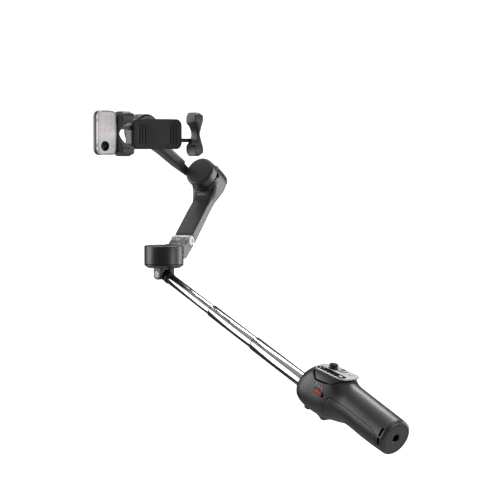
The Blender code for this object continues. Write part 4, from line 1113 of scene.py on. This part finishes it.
def jaw(name, body, side, out, waist):
    """A jaw and its rack. Side is -1 for the left one, and waist is how far back its middle stands."""
    outline = [(side * x, z) for x, z in jaw_front_view(out)]
    low, high = sorted((side * 20.0, side * PHONE_HALF_WIDTH))
    steps = [("INTERSECT", CLAMP, along_x(prism(filleted(jaw_side_view(waist), 4.0, 8), -50.0, 50.0)))]
    steps += cuts(CLAMP, block((low, SLOT_FRONT, -30.0), (high, 30.0, 30.0)))
    item = shaped(f"{name}_moulding", CLAMP, upright(prism(outline, -JAW_BACK, -JAW_FRONT)), steps)
    moulded(item, 0.28, 80)
    show(item, name, None)
    low, high = sorted((-side * 10.0, side * (out - 1.0)))
    rack_z = JAW_MID - side * RACK_OFF
    piece(f"{name}_rack_bar", CLAMP, block((low, 7.8, rack_z - 1.6), (high, 11.4, rack_z + 1.6)), (body,
          "dark_plastic"), ease=(0.2,), sharp=30.0)


# Tracking module


def make_tracker():
    """The module's tray, rim, face with its pads and lamp, and camera."""
    half_x, half_y, half_z = TRACKER_HALF
    outline = rounded_rectangle(2 * half_x, 2 * half_z, TRACKER_CORNER, 12)
    piece("tracker_tray", TRACKER, upright(round_prism(outline, -half_y, 1.0, 1.3)), "tracker_shell",
          cuts(TRACKER, upright(prism(inset(outline, 1.3), 1.4 - half_y, 5.0))))
    notches = []
    for centre in (0.56 * half_z, -0.56 * half_z):
        notches.append(block((-half_x - 1.0, -3.1, centre - 1.3), (-half_x + 0.5, -1.9, centre + 1.3)))
    band = upright(frame_prism(outline, inset(outline, 1.2), 1.1, half_y))
    piece("tracker_rim_ring", TRACKER, band, "tracker_rim", cuts(TRACKER, *notches), (0.3,))
    hole = shifted(along_y(ring(0.0, LENS_RADIUS + 0.2, -6.0, 6.0)), LENS_AT)
    face = upright(round_prism(inset(outline, 1.4), 2.4, half_y - 0.1, 0.25))
    face = piece("tracker_face_window", TRACKER, face, "tracker_face", cuts(TRACKER, hole))
    # The face's pale colour is its own. Its emission is a painted glow that stands in for the front light
    # falling on it.
    face.data.materials[0] = finish("diffuser_painted_glow", (0.70, 0.70, 0.71), 0.5, relief=2e-6, emission=0.3)
    edge = LENS_RADIUS
    profile = [(0.0, -3.0), (1.1, -3.05), (1.7, -3.3), (1.75, -3.1), (2.3, -3.1), (2.4, -3.8), (2.9, -4.15)]
    profile += [(edge - 0.5, -4.35), (edge - 0.1, -4.3), (edge, -4.0), (edge, 0.6), (0.0, 0.6)]
    piece("tracker_lens_barrel", TRACKER, shifted(along_y(turned(profile)), LENS_AT), "tracker_lens",
          sharp=30.0)
    base = half_y - 0.08
    pads = []
    for column in (-6.3, -1.3, 3.7):
        for row in (12.7, 7.4, 2.3):
            pad = rounded_rectangle(3.5, 3.5, 0.9, 5, (column, row))
            pads.append(round_prism(pad, base, half_y, 0.03, 2))
    cells = piece("tracker_face_pads", TRACKER, upright(combined(pads)), ("tracker", "lamp_lens"))
    # The pads' pink tint is their own. Their emission is a painted glow, like the face's, that stands in for
    # front light.
    cells.data.materials[0] = finish("pink_pads_painted_glow", (0.74, 0.60, 0.60), 0.5, relief=2e-6, emission=0.3)
    lamp = upright(round_prism(circle(0.75, 32, (4.85, LENS_AT[2])), base, half_y + 0.1, 0.06))
    lamp = piece("tracker_status_lamp", TRACKER, lamp, ("tracker", "lamp_lens"), sharp=60.0)
    lamp.data.materials[0] = finish("green_lamp", (0.06, 0.55, 0.12), 0.25, emission=0.6)


# Inner nodes and the studio


def finish_remaining():
    """The CAD nodes that are right as they are keep their shape and get their slot's material."""
    for name, node in frame_data["nodes"].items():
        if not node.hide_render:
            node.data.materials.clear()
            node.data.materials.append(materials[places[name][1]])
    lamps = frame_data["nodes"]["indicator_lens"].data.materials
    lamps[0] = finish("lit_lamps", (0.85, 0.80, 0.80), 0.3, emission=0.25)


def make_studio():
    """A pale floor that curves up into a backdrop."""
    profile = [(FLOOR_START, FLOOR_HEIGHT), (FLOOR_END, FLOOR_HEIGHT)]
    for step in range(1, 17):
        angle = pi / 2 * step / 16
        along = FLOOR_END + BACKDROP_CURVE * sin(angle)
        profile.append((along, FLOOR_HEIGHT + BACKDROP_CURVE * (1 - cos(angle))))
    profile.append((FLOOR_END + BACKDROP_CURVE, BACKDROP_TOP))
    points = []
    faces = []
    for along, height in profile:
        for side in (-FLOOR_HALF, FLOOR_HALF):
            place = VIEW_ALONG * along + VIEW_RIGHT * side
            points.append((place.x, place.y, height))
    for index in range(len(profile) - 1):
        base = index * 2
        faces.append((base, base + 1, base + 3, base + 2))
    mesh = bpy.data.meshes.new("studio_floor")
    mesh.from_pydata(points, [], faces)
    mesh.shade_smooth()
    floor = placed("studio_floor", mesh)
    paper = finish("floor_paper", (0.93, 0.93, 0.93), 0.8, grain=60.0, contrast=0.01, emission=1.2)
    mesh.materials.append(paper)
    floor.visible_glossy = False
    floor.visible_diffuse = False


def soft_light(name, place, size, power):
    """A rectangular light that the camera doesn't see."""
    data = bpy.data.lights.new(name, "AREA")
    data.shape = "RECTANGLE"
    data.size, data.size_y = size
    data.energy = power
    light = placed(name, data)
    light.location = place
    light.rotation_euler = (Vector(LIT_POINT) - Vector(place)).to_track_quat("-Z", "Y").to_euler()
    light.visible_camera = False


def surround():
    """A studio's surround: pale below, dark at eye level and soft grey above, behind a white backdrop."""
    world = bpy.data.worlds.new("surround")
    world.use_nodes = True
    tree = world.node_tree
    shade = tree.nodes["Background"]
    new = tree.nodes.new
    link = tree.links.new
    place = new("ShaderNodeTexCoord")
    split = new("ShaderNodeSeparateXYZ")
    height = set_inputs(new("ShaderNodeMapRange"), {"From Min": -1.0})
    ramp = new("ShaderNodeValToRGB")
    ramp.color_ramp.elements.remove(ramp.color_ramp.elements[1])
    for index, (position, level) in enumerate(SURROUND):
        stop = ramp.color_ramp.elements[0] if index == 0 else ramp.color_ramp.elements.new(position)
        stop.position = position
        stop.color = (level, level, level, 1.0)
    link(place.outputs["Generated"], split.inputs["Vector"])
    link(split.outputs["Z"], height.inputs["Value"])
    link(height.outputs["Result"], ramp.inputs["Fac"])
    link(ramp.outputs["Color"], shade.inputs["Color"])
    white = set_inputs(new("ShaderNodeBackground"), {"Color": (1.0, 1.0, 1.0, 1.0)})
    path = new("ShaderNodeLightPath")
    choice = new("ShaderNodeMixShader")
    link(path.outputs["Is Camera Ray"], choice.inputs["Fac"])
    link(shade.outputs["Background"], choice.inputs[1])
    link(white.outputs["Background"], choice.inputs[2])
    link(choice.outputs["Shader"], tree.nodes["World Output"].inputs["Surface"])
    bpy.context.scene.world = world


def make_lights():
    """The soft lights, the surround and a plain view transform."""
    for light in LIGHTS:
        soft_light(*light)
    surround()
    bpy.context.scene.view_settings.view_transform = "Standard"


def make_camera():
    """The camera that takes in the whole object from its left."""
    data = bpy.data.cameras.new("camera")
    data.lens = CAMERA_LENS
    data.sensor_width = 36.0
    data.clip_start = 0.05
    camera = placed("camera", data)
    camera.location = CAMERA_PLACE
    camera.rotation_euler = CAMERA_AIM.to_track_quat("-Z", "Y").to_euler()
    bpy.context.scene.camera = camera


clear_scene()
make_camera()
frame_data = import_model()
places = node_places(frame_data["record"])
materials = make_materials()
make_handle()
make_controls()
make_remote()
make_sticks()
make_rod()
make_fork()
make_pan()
make_arm()
make_roll()
make_clamp()
jaw("jaw_left", "left_jaw", -1, JAW_OUT_LEFT, 2.0)
jaw("jaw_right", "right_jaw", 1, JAW_OUT, -0.9)
make_tracker()
finish_remaining()
make_studio()
make_lights()
